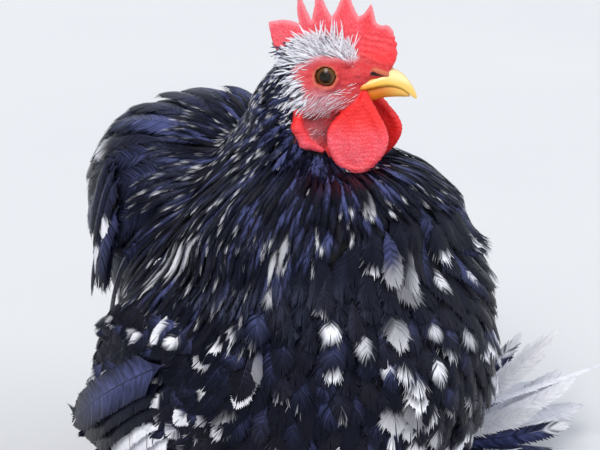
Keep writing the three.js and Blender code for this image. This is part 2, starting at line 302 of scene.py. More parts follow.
def face_normals(points, faces):
    """Normals of quads or triangles, as long as the face is large."""
    a, b, c, d = (points[faces[:, i]] for i in (0, 1, 2, -1))
    return np.cross(c - a, d - b) if faces.shape[1] == 4 else np.cross(b - a, c - a)


def vertex_normals(points, faces):
    normal = face_normals(points, faces)
    total = np.zeros_like(points)
    for i in range(faces.shape[1]):
        np.add.at(total, faces[:, i], normal)
    return unit(total)


def relaxed(points, faces, rounds):
    """Each vertex moved halfway to the middle of its neighbours, in rounds."""
    count = np.zeros(len(points))
    pairs = [(faces[:, i], faces[:, (i + 1) % faces.shape[1]]) for i in range(faces.shape[1])]
    for a, b in pairs:
        np.add.at(count, a, 1)
    for _ in range(rounds):
        total = np.zeros_like(points)
        for a, b in pairs:
            np.add.at(total, a, points[b])
        points = points + 0.5 * (total / np.maximum(count, 1)[:, None] - points)
    return points


def joined(parts):
    """One mesh from several: points, then one or more kinds of faces."""
    starts = np.cumsum([0] + [len(part[0]) for part in parts[:-1]])
    kinds = zip(*([f + start for f in part[1:]] for part, start in zip(parts, starts)))
    return [np.concatenate([part[0] for part in parts])] + [np.concatenate(kind) for kind in kinds]


def read(items, key, width, kind=np.float32):
    """One property of a mesh's vertices, loops or faces, in rows of `width` values."""
    values = np.empty(len(items) * width, kind)
    items.foreach_get(key, values)
    return values.reshape(-1, width)


def node_mesh(name):
    """A CAD node's points and triangles, with the points that lie together made one."""
    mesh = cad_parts[name].data
    mesh.calc_loop_triangles()
    points = np.round(read(mesh.vertices, "co", 3) / MM, 3)
    welded, place = np.unique(points, axis=0, return_inverse=True)
    faces = place.reshape(-1)[read(mesh.loop_triangles, "vertices", 3, np.int32)]
    keep = (faces != np.roll(faces, 1, axis=1)).all(axis=1)
    return welded.astype(float), faces[keep]


def make_object(name, points, faces, tris=None, attributes=None, uv=None):
    """A smooth mesh object from quads (or triangles) and extra triangles, in millimetres."""
    mesh = bpy.data.meshes.new(name)
    groups = [faces] + ([tris] if tris is not None and len(tris) else [])
    corners = np.concatenate([g.ravel() for g in groups]).astype(np.int32)
    sizes = np.concatenate([np.full(len(g), g.shape[1]) for g in groups])
    mesh.vertices.add(len(points))
    mesh.vertices.foreach_set("co", (points * MM).astype(np.float32).ravel())
    mesh.loops.add(len(corners))
    mesh.loops.foreach_set("vertex_index", corners)
    mesh.polygons.add(len(sizes))
    starts = np.concatenate([[0], np.cumsum(sizes)[:-1]]).astype(np.int32)
    mesh.polygons.foreach_set("loop_start", starts)
    mesh.polygons.foreach_set("use_smooth", np.ones(len(sizes), bool))
    mesh.update(calc_edges=True)
    for key, values in (attributes or {}).items():
        layer = mesh.attributes.new(key, "FLOAT_VECTOR", "POINT")
        layer.data.foreach_set("vector", values.astype(np.float32).ravel())
    if uv is not None:
        layer = mesh.uv_layers.new(name="OFBake")
        layer.data.foreach_set("uv", uv[corners].astype(np.float32).ravel())
    piece = bpy.data.objects.new(name, mesh)
    bpy.context.scene.collection.objects.link(piece)
    return piece


def mesh_points(mesh):
    return read(mesh.vertices, "co", 3).astype(float) / MM


def with_modifier(piece, kind, **settings):
    """The mesh that one modifier makes of a piece."""
    modifier = piece.modifiers.new("step", kind)
    for key, value in settings.items():
        setattr(modifier, key, value)
    graph = bpy.context.evaluated_depsgraph_get()
    made = bpy.data.meshes.new_from_object(piece.evaluated_get(graph))
    piece.modifiers.clear()
    return made


def discard(piece):
    mesh = piece.data
    bpy.data.objects.remove(piece)
    bpy.data.meshes.remove(mesh)


class Surface:
    """A surface that finds the nearest place and smooth normal for many points."""

    def __init__(self, points, faces):
        self.points, self.faces = points, faces
        self.normals = vertex_normals(points, faces)
        self.tree = BVHTree.FromPolygons(points.tolist(), faces.tolist())

    def nearest(self, where):
        where = np.asarray(where, float)
        spots, index = np.empty((len(where), 3)), np.empty(len(where), int)
        for i, p in enumerate(where.tolist()):
            spot, _, face, _ = self.tree.find_nearest(p)
            spots[i], index[i] = spot, face
        corners = self.faces[index]
        weight = 1 / (np.linalg.norm(self.points[corners] - spots[:, None], axis=-1) + 0.2)
        normal = unit((self.normals[corners] * weight[..., None]).sum(axis=1))
        return spots, normal, index

    def scatter(self, count, rng, only=None):
        """Random places over the faces numbered in `only`, or all: spots, normals, faces."""
        numbers = np.arange(len(self.faces)) if only is None else only
        f = self.faces[numbers]
        a, b, c, d = (self.points[f[:, i]] for i in (0, 1, 2, -1))
        area = np.linalg.norm(face_normals(self.points, f), axis=1)
        chosen = rng.choice(len(f), count, p=area / area.sum())
        u, v = rng.random((2, count, 1))
        if f.shape[1] == 3:
            flip = (u + v > 1)[:, 0]
            u[flip], v[flip] = 1 - u[flip], 1 - v[flip]
            spot = a[chosen] + u * (b - a)[chosen] + v * (c - a)[chosen]
        else:
            spot = lerp(lerp(a[chosen], b[chosen], u), lerp(d[chosen], c[chosen], u), v)
        return spot, unit(self.normals[f[chosen]].mean(axis=1)), numbers[chosen]


def spaced(points, gap):
    """Numbers of the points kept so that none lies closer to an earlier one than its gap."""
    cell = gap.max()
    buckets, kept = {}, []
    keys = np.floor(points / cell).astype(int).tolist()
    steps = [(x, y, z) for x in (-1, 0, 1) for y in (-1, 0, 1) for z in (-1, 0, 1)]
    places = points.tolist()
    for i, (kx, ky, kz) in enumerate(keys):
        px, py, pz = places[i]
        limit = gap[i] * gap[i]
        clear = True
        for x, y, z in steps:
            for qx, qy, qz in buckets.get((kx + x, ky + y, kz + z), ()):
                if (px - qx) ** 2 + (py - qy) ** 2 + (pz - qz) ** 2 < limit:
                    clear = False
                    break
            if not clear:
                break
        if clear:
            buckets.setdefault((kx, ky, kz), []).append(places[i])
            kept.append(i)
    return np.array(kept)


# ---- The outline of the coat: the CAD bodies as one smooth surface ----


def coat_outline():
    parts = [node_mesh(name) for name in COAT_NODES]
    parts = [(points + SWELL * vertex_normals(points, faces), faces) for points, faces in parts]
    rough = make_object("outline", *joined(parts))
    mesh = with_modifier(rough, "REMESH", mode="VOXEL", voxel_size=OUTLINE_VOXEL * MM)
    faces = read(mesh.loops, "vertex_index", 1, np.int32).reshape(-1, 4)
    discard(rough)
    return Surface(relaxed(mesh_points(mesh), faces, OUTLINE_ROUNDS), faces)


outline = coat_outline()


def label_vertices():
    """Which of COAT_NODES each outline vertex lies nearest to."""
    reach = []
    for name in COAT_NODES:
        tree = BVHTree.FromPolygons(*[part.tolist() for part in node_mesh(name)])
        reach.append([tree.find_nearest(p)[3] for p in outline.points.tolist()])
    return np.argmin(np.array(reach), axis=0)


vertex_label = label_vertices()

# ---- Skin ----

# The comb's edge in head coordinates (forward, up): over the beak to the first tall point, then
# each tall point's tip and the notch behind it, then round the blade and along the seat.
# A bend is its start, its control point and how many steps it takes to the next start.
COMB_FRONT = (
    ((25.6, -1), (30.6, 4), 5),
    ((28.6, 12.4), (27.4, 19.6), 4),
    ((24.6, 20.4), (21.6, 19.4), 3),
)
COMB_FIRST = (19.6, 21.4)
COMB_POINTS = (
    ((17.2, 30.2), (11.6, 23.2)),
    ((5, 39), (-0.6, 22.6)),
    ((-6.8, 38.2), (-9.7, 20.6)),
    ((-15.9, 36.4), (-15.6, 18.6)),
)
COMB_BACK = (
    (COMB_POINTS[-1][1], (-20, 21), 6),
    ((-29.6, 18.9), (-29, 9), 6),
    ((-23.2, 2.2), (-14, 9), 4),
    ((-6, 7), (6, 4), 4),
    ((14, 0), (19, -3), 4),
)


def comb_outline():
    """The comb's edge as one closed row of points."""
    bends = list(COMB_FRONT)
    start = COMB_FIRST
    for tip, notch in COMB_POINTS:
        bends.append((start, (tip[0] + 1.4, lerp(start[1], tip[1], 0.55)), 6))
        bends.append((tip, (tip[0] - 1.6, lerp(notch[1], tip[1], 0.3)), 6))
        start = notch
    bends += COMB_BACK
    ends = [start for start, _, _ in bends[1:]] + [bends[0][0]]
    loop = [bend(a, b, c, steps) for (a, b, steps), c in zip(bends, ends)]
    return np.concatenate([[bends[0][0]], *loop])


COMB = comb_outline()

# The wattle's outline (forward, up), from its seat down the rear edge and up the front one.
WATTLE_KNOTS = (
    (16.4, -8), (13.4, -12.4), (8.9, -16.3), (3.6, -21.4), (0.2, -26.8),
    (0.4, -34.2), (3.6, -41.4), (9.4, -45.6), (15.2, -46.2), (20.6, -43.4),
    (25.8, -37), (28, -30.4), (26.6, -24.6), (22.8, -18.6), (19.6, -13.4),
)
WATTLE = smooth_loop(WATTLE_KNOTS, 4)
FAR_WATTLE_FORWARD = 2.6  # the left wattle swings a little further forward
LID_OPENING = 4.7  # radius of the opening between the lids
LID_RING = 5.5  # radius of the raised ring round it


def wattle_edges(forward, up):
    """Distances to the outlines of the left and the right wattle."""
    swings = (forward - ahead * smoothstep(-8, -30, up) for ahead in (FAR_WATTLE_FORWARD, 0))
    return [outline_distance(swing, up, WATTLE) for swing in swings]


def wattle_distance(left, forward, up, edges):
    """Thin leaves, fuller along the rim, one on each side."""
    leaves = []
    for side, edge in zip((1, -1), edges):
        drop = smoothstep(-8, -46, up)
        hang = side * (7 + 7.6 * drop - 2.2 * drop * drop) + 0.5 * np.sin(forward * 0.35)
        rim = 0.9 * np.exp(-(((edge + 2.2) / 1.8) ** 2))
        half = 1.25 + rim + 0.05 * np.clip(-edge, 0, 12)
        leaves.append(plate(left - hang, edge, half, 1.2))
    return np.minimum(*leaves)


# The red flap below the ear and the fold that runs on from it: places and radii.
LOBE = (
    ((15.8, -12.4, -17), 1.5),
    ((16.4, -12.6, -25), 2.7),
    ((15, -9.2, -32.4), 2.7),
    ((12, -2.4, -36), 1.3),
)


def lobe_distance(q):
    """The lobe as tapering limbs melted end to end."""
    stretches = [limb(q, a, b, ra, rb) for (a, ra), (b, rb) in zip(LOBE, LOBE[1:])]
    lobe = stretches[0]
    for stretch in stretches[1:]:
        lobe = melt(lobe, stretch, 1)
    return lobe


FLAP = ((6.4, 20.4, 1.0), (4.8, 25.8, -1.2))  # over the nostril
SLIT = ((7.5, 19.6, -0.6), (5.7, 25.4, -2.9))  # the nostril itself
NECK_END = -52  # the head's skin is cut off here, inside the body's
HEAD_LOW, HEAD_HIGH = (-23, -42, -56), (23, 33, 41)  # the room that the head's skin takes
SKULL = ((0, -9, -3.5), (14.6, 19, 15.5))
# What is melted onto the skull in turn, in head coordinates with the sides folded together: a
# centre or two ends, radii, and the fillet.
HEAD_SOLIDS = (
    (ellipsoid, (0, 7, -3.6), (10.2, 13.4, 9.6), 5),  # face
    (ellipsoid, (7.6, -11, -11), (8, 9.5, 10), 5),  # cheek
    (ellipsoid, (5.4, 4, -12), (5.4, 10.5, 6.4), 3.5),  # jaw
    (limb, (0, -14, -8), (0, -19, -60), 13.2, 15.5, 8),  # nape
    (limb, (0, -2, -13), (0, -11, -52), 8, 8.5, 6),  # throat
    (limb, (7, -8, -15), (6, -9, -36), 5.5, 5.5, 4),  # side of the throat
    (limb, (0, 21, 2.4), (0, -14, 11.5), 3.6, 4.2, 3.4),  # fleshy seat of the comb
    (limb, (6.6, 12.4, -8.8), (8, 8, -9.8), 1.6, 2.2, 1.8),  # corner of the gape
    (limb, (9.4, 9, 4.6), (12.4, -7, 5.4), 1.6, 2.2, 3.4),  # brow
)


def head_distance(p):
    """The head with comb, lobes and wattles, in head coordinates."""
    left, forward, up = np.moveaxis(p, -1, 0)
    aside = np.abs(left)
    q = np.stack([aside, forward, up], axis=-1)
    d = ellipsoid(q, *SKULL)
    for solid, *shape, fillet in HEAD_SOLIDS:
        d = melt(d, solid(q, *shape), fillet)
    # The bulge of the lids over the eyeball.
    eye = vec(EYE_SIDE, -EYE_BACK, -EYE_DROP)
    from_eye = np.linalg.norm(q - eye, axis=-1)
    d = melt(d, from_eye - (EYE_RADIUS + 0.9), 2)
    ring = from_pupil(forward, up)
    d = carve(d, np.maximum(ring - LID_OPENING, EYE_SIDE - aside), 0.5)
    d = np.maximum(d, EYE_RADIUS - 0.35 - from_eye)
    lid_at = EYE_SIDE + math.sqrt(EYE_RADIUS**2 - LID_OPENING**2) + 0.25
    d = melt(d, np.hypot(ring - LID_RING, aside - lid_at) - 0.85, 0.45)
    # Ear hollow and the red lobe beneath it.
    ear = np.stack([aside - 15, forward + 14.4, up + 9.9], axis=-1)
    d = carve(d, ellipsoid(ear, (1.2, 0, 0), (3, 2.4, 2.1)), 1.4)
    d = melt(d, lobe_distance(q), 1.4)
    # Fleshy flap over each nostril, and its slit.
    d = melt(d, limb(q, (5.4, 13, -1.2), (3.9, 24.6, -0.8), 3.5, 1.7), 2)
    d = melt(d, limb(q, *FLAP, 1.1, 0.8), 0.5)
    d = carve(d, limb(q, *SLIT, 0.85, 0.6), 0.3)
    # Comb.
    sway = 0.9 * np.sin(forward * 0.22) * smoothstep(4, 32, up)
    edge = outline_distance(forward[0], up[0], COMB)
    half = 0.75 + 0.12 * np.clip(-edge, 0, 8) + 2.4 * smoothstep(15, 3, up)
    d = melt(d, plate(left - sway, edge, half, 0.7), 1.6)
    edges = wattle_edges(forward[0], up[0])
    d = melt(d, wattle_distance(left, forward, up, edges), 1.5)
    return np.maximum(d, NECK_END - up)


CROP = within("neck", 0.5, 0.42, 0.32)
TAIL_MIDDLE, THIGH_MIDDLE = middle("tail"), middle("thigh_L")
SOLE = 0.25  # how far the soles press flat
CLAWS = [middle(f"claw_L{toe}") for toe in range(1, 5)]
FOOT_LOW, FOOT_HIGH = box("foot_L")
ANKLE = vec(*(within("foot_L", 0.5, 0.72, 0.5)[:2]), 4)
SHANK_TOP = vec(ANKLE[0], ANKLE[1] + 2, 34)
TOE_LEVEL = vec(0, 0, 3.6)
BODY_LEVELS = (8, 226)  # heights that the body's skin lies between
FOOT_ROOM = (FOOT_LOW - vec(6, 8, 3), FOOT_HIGH + vec(6, 6, 22))


def body_distance(p):
    """Trunk, breast, neck, tail and thighs without their feathers."""
    d = ellipsoid(p, (TRUNK_LOW + TRUNK_HIGH) / 2, (TRUNK_HIGH - TRUNK_LOW) / 2 - vec(17, 14, 17))
    q = np.stack([np.abs(p[..., 0]), p[..., 1], p[..., 2]], axis=-1)
    d = melt(d, ellipsoid(q, CROP, (60, 56, 52)), 24)
    d = melt(d, limb(q, CROP + vec(0, 6, 18), HEAD + vec(0, 15, -42), 42, 13), 16)
    d = melt(d, ellipsoid(q, TAIL_MIDDLE + vec(0, -8, 2), (44, 44, 30)), 20)
    hock = THIGH_MIDDLE + vec(-2, 6, -16)
    return melt(d, limb(q, THIGH_MIDDLE + vec(0, -4, 10), hock, 25, 10), 14)


def foot_distance(p):
    """The left shank and its four toes, ringed with scales."""
    d = limb(p, SHANK_TOP, ANKLE + vec(0, 0, 1), 6.2, 4.8)
    for claw in CLAWS:
        start = ANKLE * vec(1, 1, 0) + TOE_LEVEL
        end = lerp(start, claw * vec(1, 1, 0) + vec(0, 0, 3), 0.86)
        length = np.linalg.norm(end - start)
        along = np.clip((p - start) @ (end - start) / length, 0, length)
        scales = 0.18 * np.abs(np.sin(along * 1.25))
        d = melt(d, limb(p, start, end, 3.9, 2.7) - scales, 1.6)
    return np.maximum(d, SOLE - p[..., 2])


def bump(x, y, x_middle, y_middle, x_reach, y_reach):
    """A soft round spot: 1 in its middle, dying away over its reach."""
    return np.exp(-(((x - x_middle) / x_reach) ** 2) - (((y - y_middle) / y_reach) ** 2))


def head_skin():
    """The head's mesh with its creases, grain and folds, in the row frame."""
    p, f = sculpt(HEAD_LOW, HEAD_HIGH, HEAD_STEP, head_distance)
    n = vertex_normals(p, f)
    _, forward, up = p.T
    comb, wattle = comb_share(p), wattle_share(p)
    grain = value_noise(p, 1.7, 3) * 0.5 + value_noise(p, 0.9, 4) * 0.35
    crease = value_noise(p * vec(1, 0.35, 1.6), 1.5, 5)
    band = np.sin(up * 3.4 + 3.2 * value_noise(p, 5, 6) - 0.3 * forward) * 0.5 + 0.5
    face = (1 - comb) * (1 - wattle) * smoothstep(-22, -12, forward)
    ring = from_pupil(forward, up)
    lids = np.exp(-(((ring - 7.4) / 1.4) ** 2)) * np.sin(ring * 4.2)
    # Creases in the comb's low front run round a place over the beak.
    fold_ring = np.hypot(forward - 14, 1.3 * (up + 3))
    folds = np.sin(fold_ring * 1.7 + 3.4 * value_noise(p, 6, 8))
    folds = folds * smoothstep(6, 13, forward) * smoothstep(20, 13, up)
    folds = folds * smoothstep(-0.4, 0.5, value_noise(p, 4, 9))
    amount = comb * (0.34 * grain + 0.36 * folds) + wattle * (0.2 * grain + 0.2 * (band - 0.5))
    amount += face * (0.34 * crease + 0.16 * grain + 0.16 * lids)
    amount *= ring > 4.4
    # Head coordinates are left-handed, so each face's corners are taken in reverse.
    return from_head(p + n * amount[:, None]), f[:, ::-1]


def face_border(up):
    """How far forward the coat reaches, by height on the head."""
    by_lobe = 3.6 * smoothstep(-13, -19, up)
    return -17 + 4 * smoothstep(-2, 10, up) + by_lobe + 12 * smoothstep(-33, -38, up)


def comb_share(local):
    """1 on the comb, 0 elsewhere, from head coordinates."""
    left, forward, up = local.T
    line = lerp(2.5, 13.5, smoothstep(28, -4, forward))
    line = line - 7 * smoothstep(-14, -24, forward)
    return smoothstep(-1.2, 1.6, up - line) * smoothstep(7.5, 4.5, np.abs(left))


def wattle_share(local):
    """1 on the wattles and the red lobes, 0 elsewhere."""
    left, forward, up = local.T
    folded = np.stack([np.abs(left), forward, up], axis=1)
    red = np.zeros(len(local))
    near = (up < -6) & (up > -50) & (forward > -20) & (forward < 34)
    edges = wattle_edges(forward[near], up[near])
    leaf = wattle_distance(left[near], forward[near], up[near], edges)
    lobe = lobe_distance(folded[near])
    red[near] = np.maximum(smoothstep(1.1, 0.3, leaf), smoothstep(1.0, 0.3, lobe))
    return red


def tucked(points, share, depth):
    """Draws points in until they lie `depth` under the coat's outline."""
    spots, facing, _ = outline.nearest(points)
    over = np.maximum(((points - spots) * facing).sum(-1) + depth, 0) * share
    return points - facing * over[:, None]


def bare_body():
    """The body's skin, drawn in under the coat."""
    low, high = (np.array(corner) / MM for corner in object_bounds())
    low[2], high[2] = BODY_LEVELS
    points, faces = sculpt(low, high, BODY_STEP, body_distance)
    z = points[:, 2]
    return tucked(points, smoothstep(26, 50, z), lerp(3, 6, smoothstep(60, 90, z))), faces


def bare_head():
    """The head's skin, drawn in where feathers cover it."""
    points, faces = head_skin()
    local = to_head(points)
    _, forward, up = local.T
    red = np.maximum(wattle_share(local), comb_share(local))
    behind = smoothstep(2, -2, forward - face_border(up))
    under_coat = np.maximum(smoothstep(-34, -39, up), behind) * (1 - red)
    deep = np.maximum(smoothstep(-38, -48, up), smoothstep(-18, -30, forward))
    return tucked(points, under_coat, lerp(1.6, 5.6, deep)), faces


def bare_feet():
    points, faces = sculpt(*FOOT_ROOM, FOOT_STEP, foot_distance)
    return joined([(points, faces), (points * vec(-1, 1, 1), faces[:, ::-1])])


def make_skin():
    """One closed skin: head and feet joined to the body."""
    whole = make_object("skin", *bare_body())
    for part in (bare_head(), bare_feet()):
        other = make_object("join", *part)
        alone = len(whole.data.polygons)
        for solver in ("MANIFOLD", "FLOAT"):
            made = with_modifier(whole, "BOOLEAN", operation="UNION", solver=solver, object=other)
            if len(made.polygons) > alone:
                break
        whole.data = made
        discard(other)
    return whole


skin = make_skin()
skin_points = mesh_points(skin.data)


def unwrap_skin():
    """The skin's own map: the head takes the larger part, as its detail is finest."""
    mesh = skin.data
    layer = mesh.uv_layers.new(name="OFBake").name
    sizes = read(mesh.polygons, "loop_total", 1, np.int32)[:, 0]
    centres = read(mesh.polygons, "center", 3) / MM
    on_head = near_head(centres, 49) & (centres[:, 2] > HEAD[2] - 40)
    bpy.context.view_layer.objects.active = skin
    skin.select_set(True)
    bpy.context.tool_settings.mesh_select_mode = (False, False, True)
    result = np.zeros((len(mesh.loops), 2), np.float32)
    for faces, low, wide in ((on_head, 0.0, 0.6), (~on_head, 0.61, 0.39)):
        loops = np.repeat(faces, sizes)
        mesh.polygons.foreach_set("select", faces)
        bpy.ops.object.mode_set(mode="EDIT")
        bpy.ops.uv.smart_project(angle_limit=1.15, island_margin=0.003, scale_to_bounds=True)
        bpy.ops.object.mode_set(mode="OBJECT")
        uv = read(mesh.uv_layers[layer].data, "uv", 2)[loops]
        result[loops] = np.clip(uv * (wide, 1) + (low, 0), 0.0005, 0.9995)
    mesh.uv_layers[layer].data.foreach_set("uv", result.ravel())
    return result


skin_uv = unwrap_skin()
skin.data.polygons.foreach_set("use_smooth", np.ones(len(skin.data.polygons), bool))


def skin_surface():
    """The skin to find places on, and where each of its faces lies on the map."""
    skin.data.calc_loop_triangles()
    triangles = skin.data.loop_triangles
    faces, loops = (read(triangles, key, 3, np.int32) for key in ("vertices", "loops"))
    return Surface(skin_points, faces), skin_uv[loops].mean(axis=1)


skin_shape, skin_face_uv = skin_surface()

# ---- Markings ----


def feathered(points):
    """1 where the coat covers the skin, 0 on bare face, comb, wattles and toes."""
    _, forward, up = to_head(points).T
    border = face_border(up) + 1.2 * value_noise(points, 5, 21)
    behind = smoothstep(1.2, -1.2, forward - border)
    below = smoothstep(-38, -41, up)
    coat = np.maximum(behind, below)
    toes = smoothstep(20, 26, points[:, 2])
    hanging = np.maximum(comb_share(to_head(points)), wattle_share(to_head(points)))
    return np.where(near_head(points), coat * (1 - hanging), toes)


def crown_share(forward, up):
    """1 along the middle of the white band from the brow back over the crown, 0 off it."""
    middle_line = np.interp(forward, (-15, -11, -2, 6, 11), (4.5, 8, 10.6, 9, 6))
    half = np.interp(forward, (-14, -8, 2, 12), (4.6, 4.0, 3, 1.8))
    ends = smoothstep(-19, -15, forward) * smoothstep(14, 10, forward)
    return np.exp(-(((up - middle_line) / half) ** 2)) * ends


def pink_and_painted_light(local, blotch):
    """Pinkest at the back of the comb, and low on the near wattle, where the paleness is partly painted
    light.
    """
    left, forward, up = local.T
    comb = 0.5 + 0.5 * smoothstep(22, -8, forward) - 0.2 * smoothstep(14, 6, up)
    # Painted light, in part: only the near wattle is paler low down.
    wattle = 0.12 + 0.75 * smoothstep(-20, -33, up) * (left < 0)
    pink = comb_share(local) * comb + wattle_share(local) * wattle
    return np.clip(pink * (1 + 0.3 * blotch), 0, 1)


def skin_marks():
    """Per vertex: how red and pale the skin is, and how dark with painted shade under the coat, in the slit
    and under the jaw; how scaly, lid-like and painted with highlight along the comb's edge.
    """
    local = to_head(skin_points)
    left, forward, up = local.T
    on_head = near_head(skin_points)
    comb = comb_share(local)
    flesh = np.clip(comb + wattle_share(local), 0, 1)
    bare = on_head * (1 - flesh)
    blotch = value_noise(skin_points, 3.2, 22)
    cheek = bump(forward, up, -3, -13, 9, 5.5)
    ear = bump(forward, up, -14.2, -9.5, 3.6, 6.4)
    throat = bump(forward, up, -4, -28, 6, 5)
    pale = 0.5 * cheek + 0.9 * ear + crown_share(forward, up) + 0.3 * throat
    pale = np.clip(pale * (1 + 0.35 * blotch), 0, 1) * bare
    pale = np.where(flesh > 0.5, pink_and_painted_light(local, blotch), pale)
    # Lids, the flap over each nostril and its slit.
    ring = from_pupil(forward, up)
    lids = np.exp(-(((ring - LID_RING + 0.35) / 0.5) ** 2)) * smoothstep(9, 11, np.abs(left))
    folded = np.stack([np.abs(left), forward, up], axis=1)
    lids = np.maximum(lids, smoothstep(0.5, -0.2, limb(folded, *FLAP, 1.4, 1.1)))
    slit = smoothstep(0.5, 0.1, limb(folded, *SLIT, 0.75, 0.5)) * on_head
    lids = lids * on_head * (1 - slit)
    # Painted highlight: paler along the upper edge of the comb.
    on_comb = comb * on_head > 0.5
    rim = np.zeros(len(local))
    rim[on_comb] = smoothstep(-2.6, -0.2, outline_distance(forward[on_comb], up[on_comb], COMB))
    rim = rim * smoothstep(14, 18, up)
    # Painted shade: a dark fold under the jaw, running on over the throat.
    jaw = bump(forward, up, -4, -21, 7, 2.6) + 0.55 * throat
    # Painted shade: near black under the coat, in the nostril slit and in the fold under the jaw.
    coat = np.maximum.reduce([feathered(skin_points), slit, 0.75 * jaw * (1 + 0.5 * blotch) * bare])
    scaly = smoothstep(24, 12, skin_points[:, 2])
    mark = np.stack([flesh * on_head, pale, np.clip(coat, 0, 1)], axis=1)
    return {"mark": mark, "place": np.stack([scaly, lids, rim], axis=1)}


for key, values in skin_marks().items():
    layer = skin.data.attributes.new(key, "FLOAT_VECTOR", "POINT")
    layer.data.foreach_set("vector", values.astype(np.float32).ravel())

# ---- Materials ----


class Nodes:
    """A material's node tree with short ways of adding to it."""

    def __init__(self, name):
        self.material = bpy.data.materials.new(name)
        self.material.use_nodes = True
        self.tree = self.material.node_tree
        self.shader = self.tree.nodes["Principled BSDF"]

    def add(self, kind, inputs=None, **settings):
        node = self.tree.nodes.new(kind)
        for key, value in settings.items():
            setattr(node, key, value)
        for key, value in (inputs or {}).items():
            self.feed(node.inputs[key], value)
        return node

    def feed(self, socket, value):
        if isinstance(value, bpy.types.NodeSocket):
            self.tree.links.new(value, socket)
        elif isinstance(value, tuple) and len(value) == 3 and socket.type == "RGBA":
            socket.default_value = (*value, 1)
        else:
            socket.default_value = value

    def attribute(self, name):
        source = self.add("ShaderNodeAttribute", attribute_name=name)
        return self.add("ShaderNodeSeparateXYZ", {"Vector": source.outputs["Vector"]}).outputs

    def math(self, operation, a, b=0.0, clamp=False):
        node = self.add("ShaderNodeMath", operation=operation, use_clamp=clamp)
        self.feed(node.inputs[0], a)
        self.feed(node.inputs[1], b)
        return node.outputs[0]

    def mix(self, share, a, b, kind="MIX"):
        node = self.add("ShaderNodeMix", data_type="RGBA", blend_type=kind)
        self.feed(node.inputs["Factor"], share)
        self.feed(node.inputs[6], a)
        self.feed(node.inputs[7], b)
        return node.outputs[2]

    def noise(self, scale, detail, vector=None):
        node = self.add("ShaderNodeTexNoise", {"Scale": scale, "Detail": detail})
        if vector is None:
            vector = self.add("ShaderNodeTexCoord").outputs["Object"]
        self.feed(node.inputs["Vector"], vector)
        return node.outputs["Fac"]

    def relief(self, height, distance, strength):
        inputs = {"Height": height, "Distance": distance, "Strength": strength}
        return self.add("ShaderNodeBump", inputs).outputs["Normal"]

    def finish(self, **inputs):
        for key, value in inputs.items():
            self.feed(self.shader.inputs[key.replace("_", " ")], value)
        return self.material


# Colours of the feathers, then of the skin, the horn and the eye. A pair is the deeper colour and
# the lighter one that grain or depth turns it into.
INK = (0.0013, 0.0013, 0.0021)
# Painted sheen: the blue that the black is turned to where sheen is painted on.
PAINTED_SHEEN_BLUE = (0.072, 0.084, 0.21)
DOWN_BROWN = (0.014, 0.0115, 0.0125)
SNOW = (0.90, 0.90, 0.93)
SNOW_SHADE = (0.50, 0.51, 0.63)
GLOSS_BLUE = (0.5, 0.58, 1.0)
SHEEN_BLUE = (0.35, 0.42, 1.0)
FACE_RED = ((0.50, 0.008, 0.010), (0.68, 0.045, 0.050))
FACE_GRAIN = (0.85, 0.20, 0.24)
FACE_PALE = ((0.50, 0.30, 0.35), (0.78, 0.64, 0.71))
LID_ORANGE = (0.58, 0.17, 0.08)
COMB_RED = ((0.82, 0.010, 0.006), (0.84, 0.075, 0.105))
COMB_GRAIN = ((0.90, 0.045, 0.04), (0.95, 0.27, 0.33))
# Painted highlight for the comb's upper edge.
COMB_EDGE_HIGHLIGHT = (0.90, 0.34, 0.38)
SCALE_YELLOW = ((0.55, 0.33, 0.07), (0.68, 0.48, 0.2))
# Painted shade: the near black of skin under the coat and in dark folds.
PAINTED_SHADE_UNDER_COAT = (0.004, 0.004, 0.006)
HORN_YELLOW = ((0.84, 0.42, 0.025), (0.92, 0.60, 0.09))
HORN_WARM = (0.76, 0.19, 0.006)
# Painted highlight along the upper beak's ridge.
HORN_CREST_HIGHLIGHT = (0.92, 0.80, 0.42)
HORN_TIP = (0.92, 0.70, 0.30)
IRIS_FIBRE = (0.03, 0.016, 0.005)
EYE_REACH = 6.0  # distance from the pupil's middle that the eye's colours are spread over
EYE_STOPS = (
    (0.0, (0.002, 0.002, 0.002)),
    (0.40, (0.002, 0.002, 0.002)),
    (0.45, (0.07, 0.030, 0.010)),
    (0.58, (0.20, 0.090, 0.03)),
    (0.68, (0.15, 0.085, 0.03)),
    (0.745, (0.012, 0.007, 0.006)),
    (1.0, (0.008, 0.004, 0.004)),
)


def plumage_material(name, gloss, sheen, shine):
    """Feather: black with painted blue sheen and a blue gloss, or white, as each barb is marked."""
    n = Nodes(name)
    white, sheen_paint, downy = n.attribute("mark")
    lay = n.add("ShaderNodeAttribute", attribute_name="lay").outputs["Vector"]
    grain = n.noise(1.0, 3.0, lay)
    # Painted sheen: the black turns blue as sheen_paint rises.
    dark = n.mix(n.math("MULTIPLY", sheen_paint, sheen_paint), INK, PAINTED_SHEEN_BLUE)
    dark = n.mix(downy, dark, DOWN_BROWN)
    dark = n.mix(1.0, dark, n.math("MULTIPLY", grain, 1.8), "MULTIPLY")
    streak = n.math("MULTIPLY", n.math("SUBTRACT", grain, 0.42), 3.0, clamp=True)
    pale = n.mix(n.math("MULTIPLY", streak, 0.6), SNOW, SNOW_SHADE)
    base = n.mix(white, dark, pale)
    rough = n.math("MULTIPLY_ADD", white, 0.3)
    rough.node.inputs[2].default_value = gloss
    return n.finish(
        Base_Color=base,
        Roughness=rough,
        Specular_Tint=GLOSS_BLUE,
        Specular_IOR_Level=shine,
        Sheen_Weight=sheen,
        Sheen_Roughness=0.4,
        Sheen_Tint=SHEEN_BLUE,
        Normal=n.relief(grain, 0.0003, 0.7),
    )


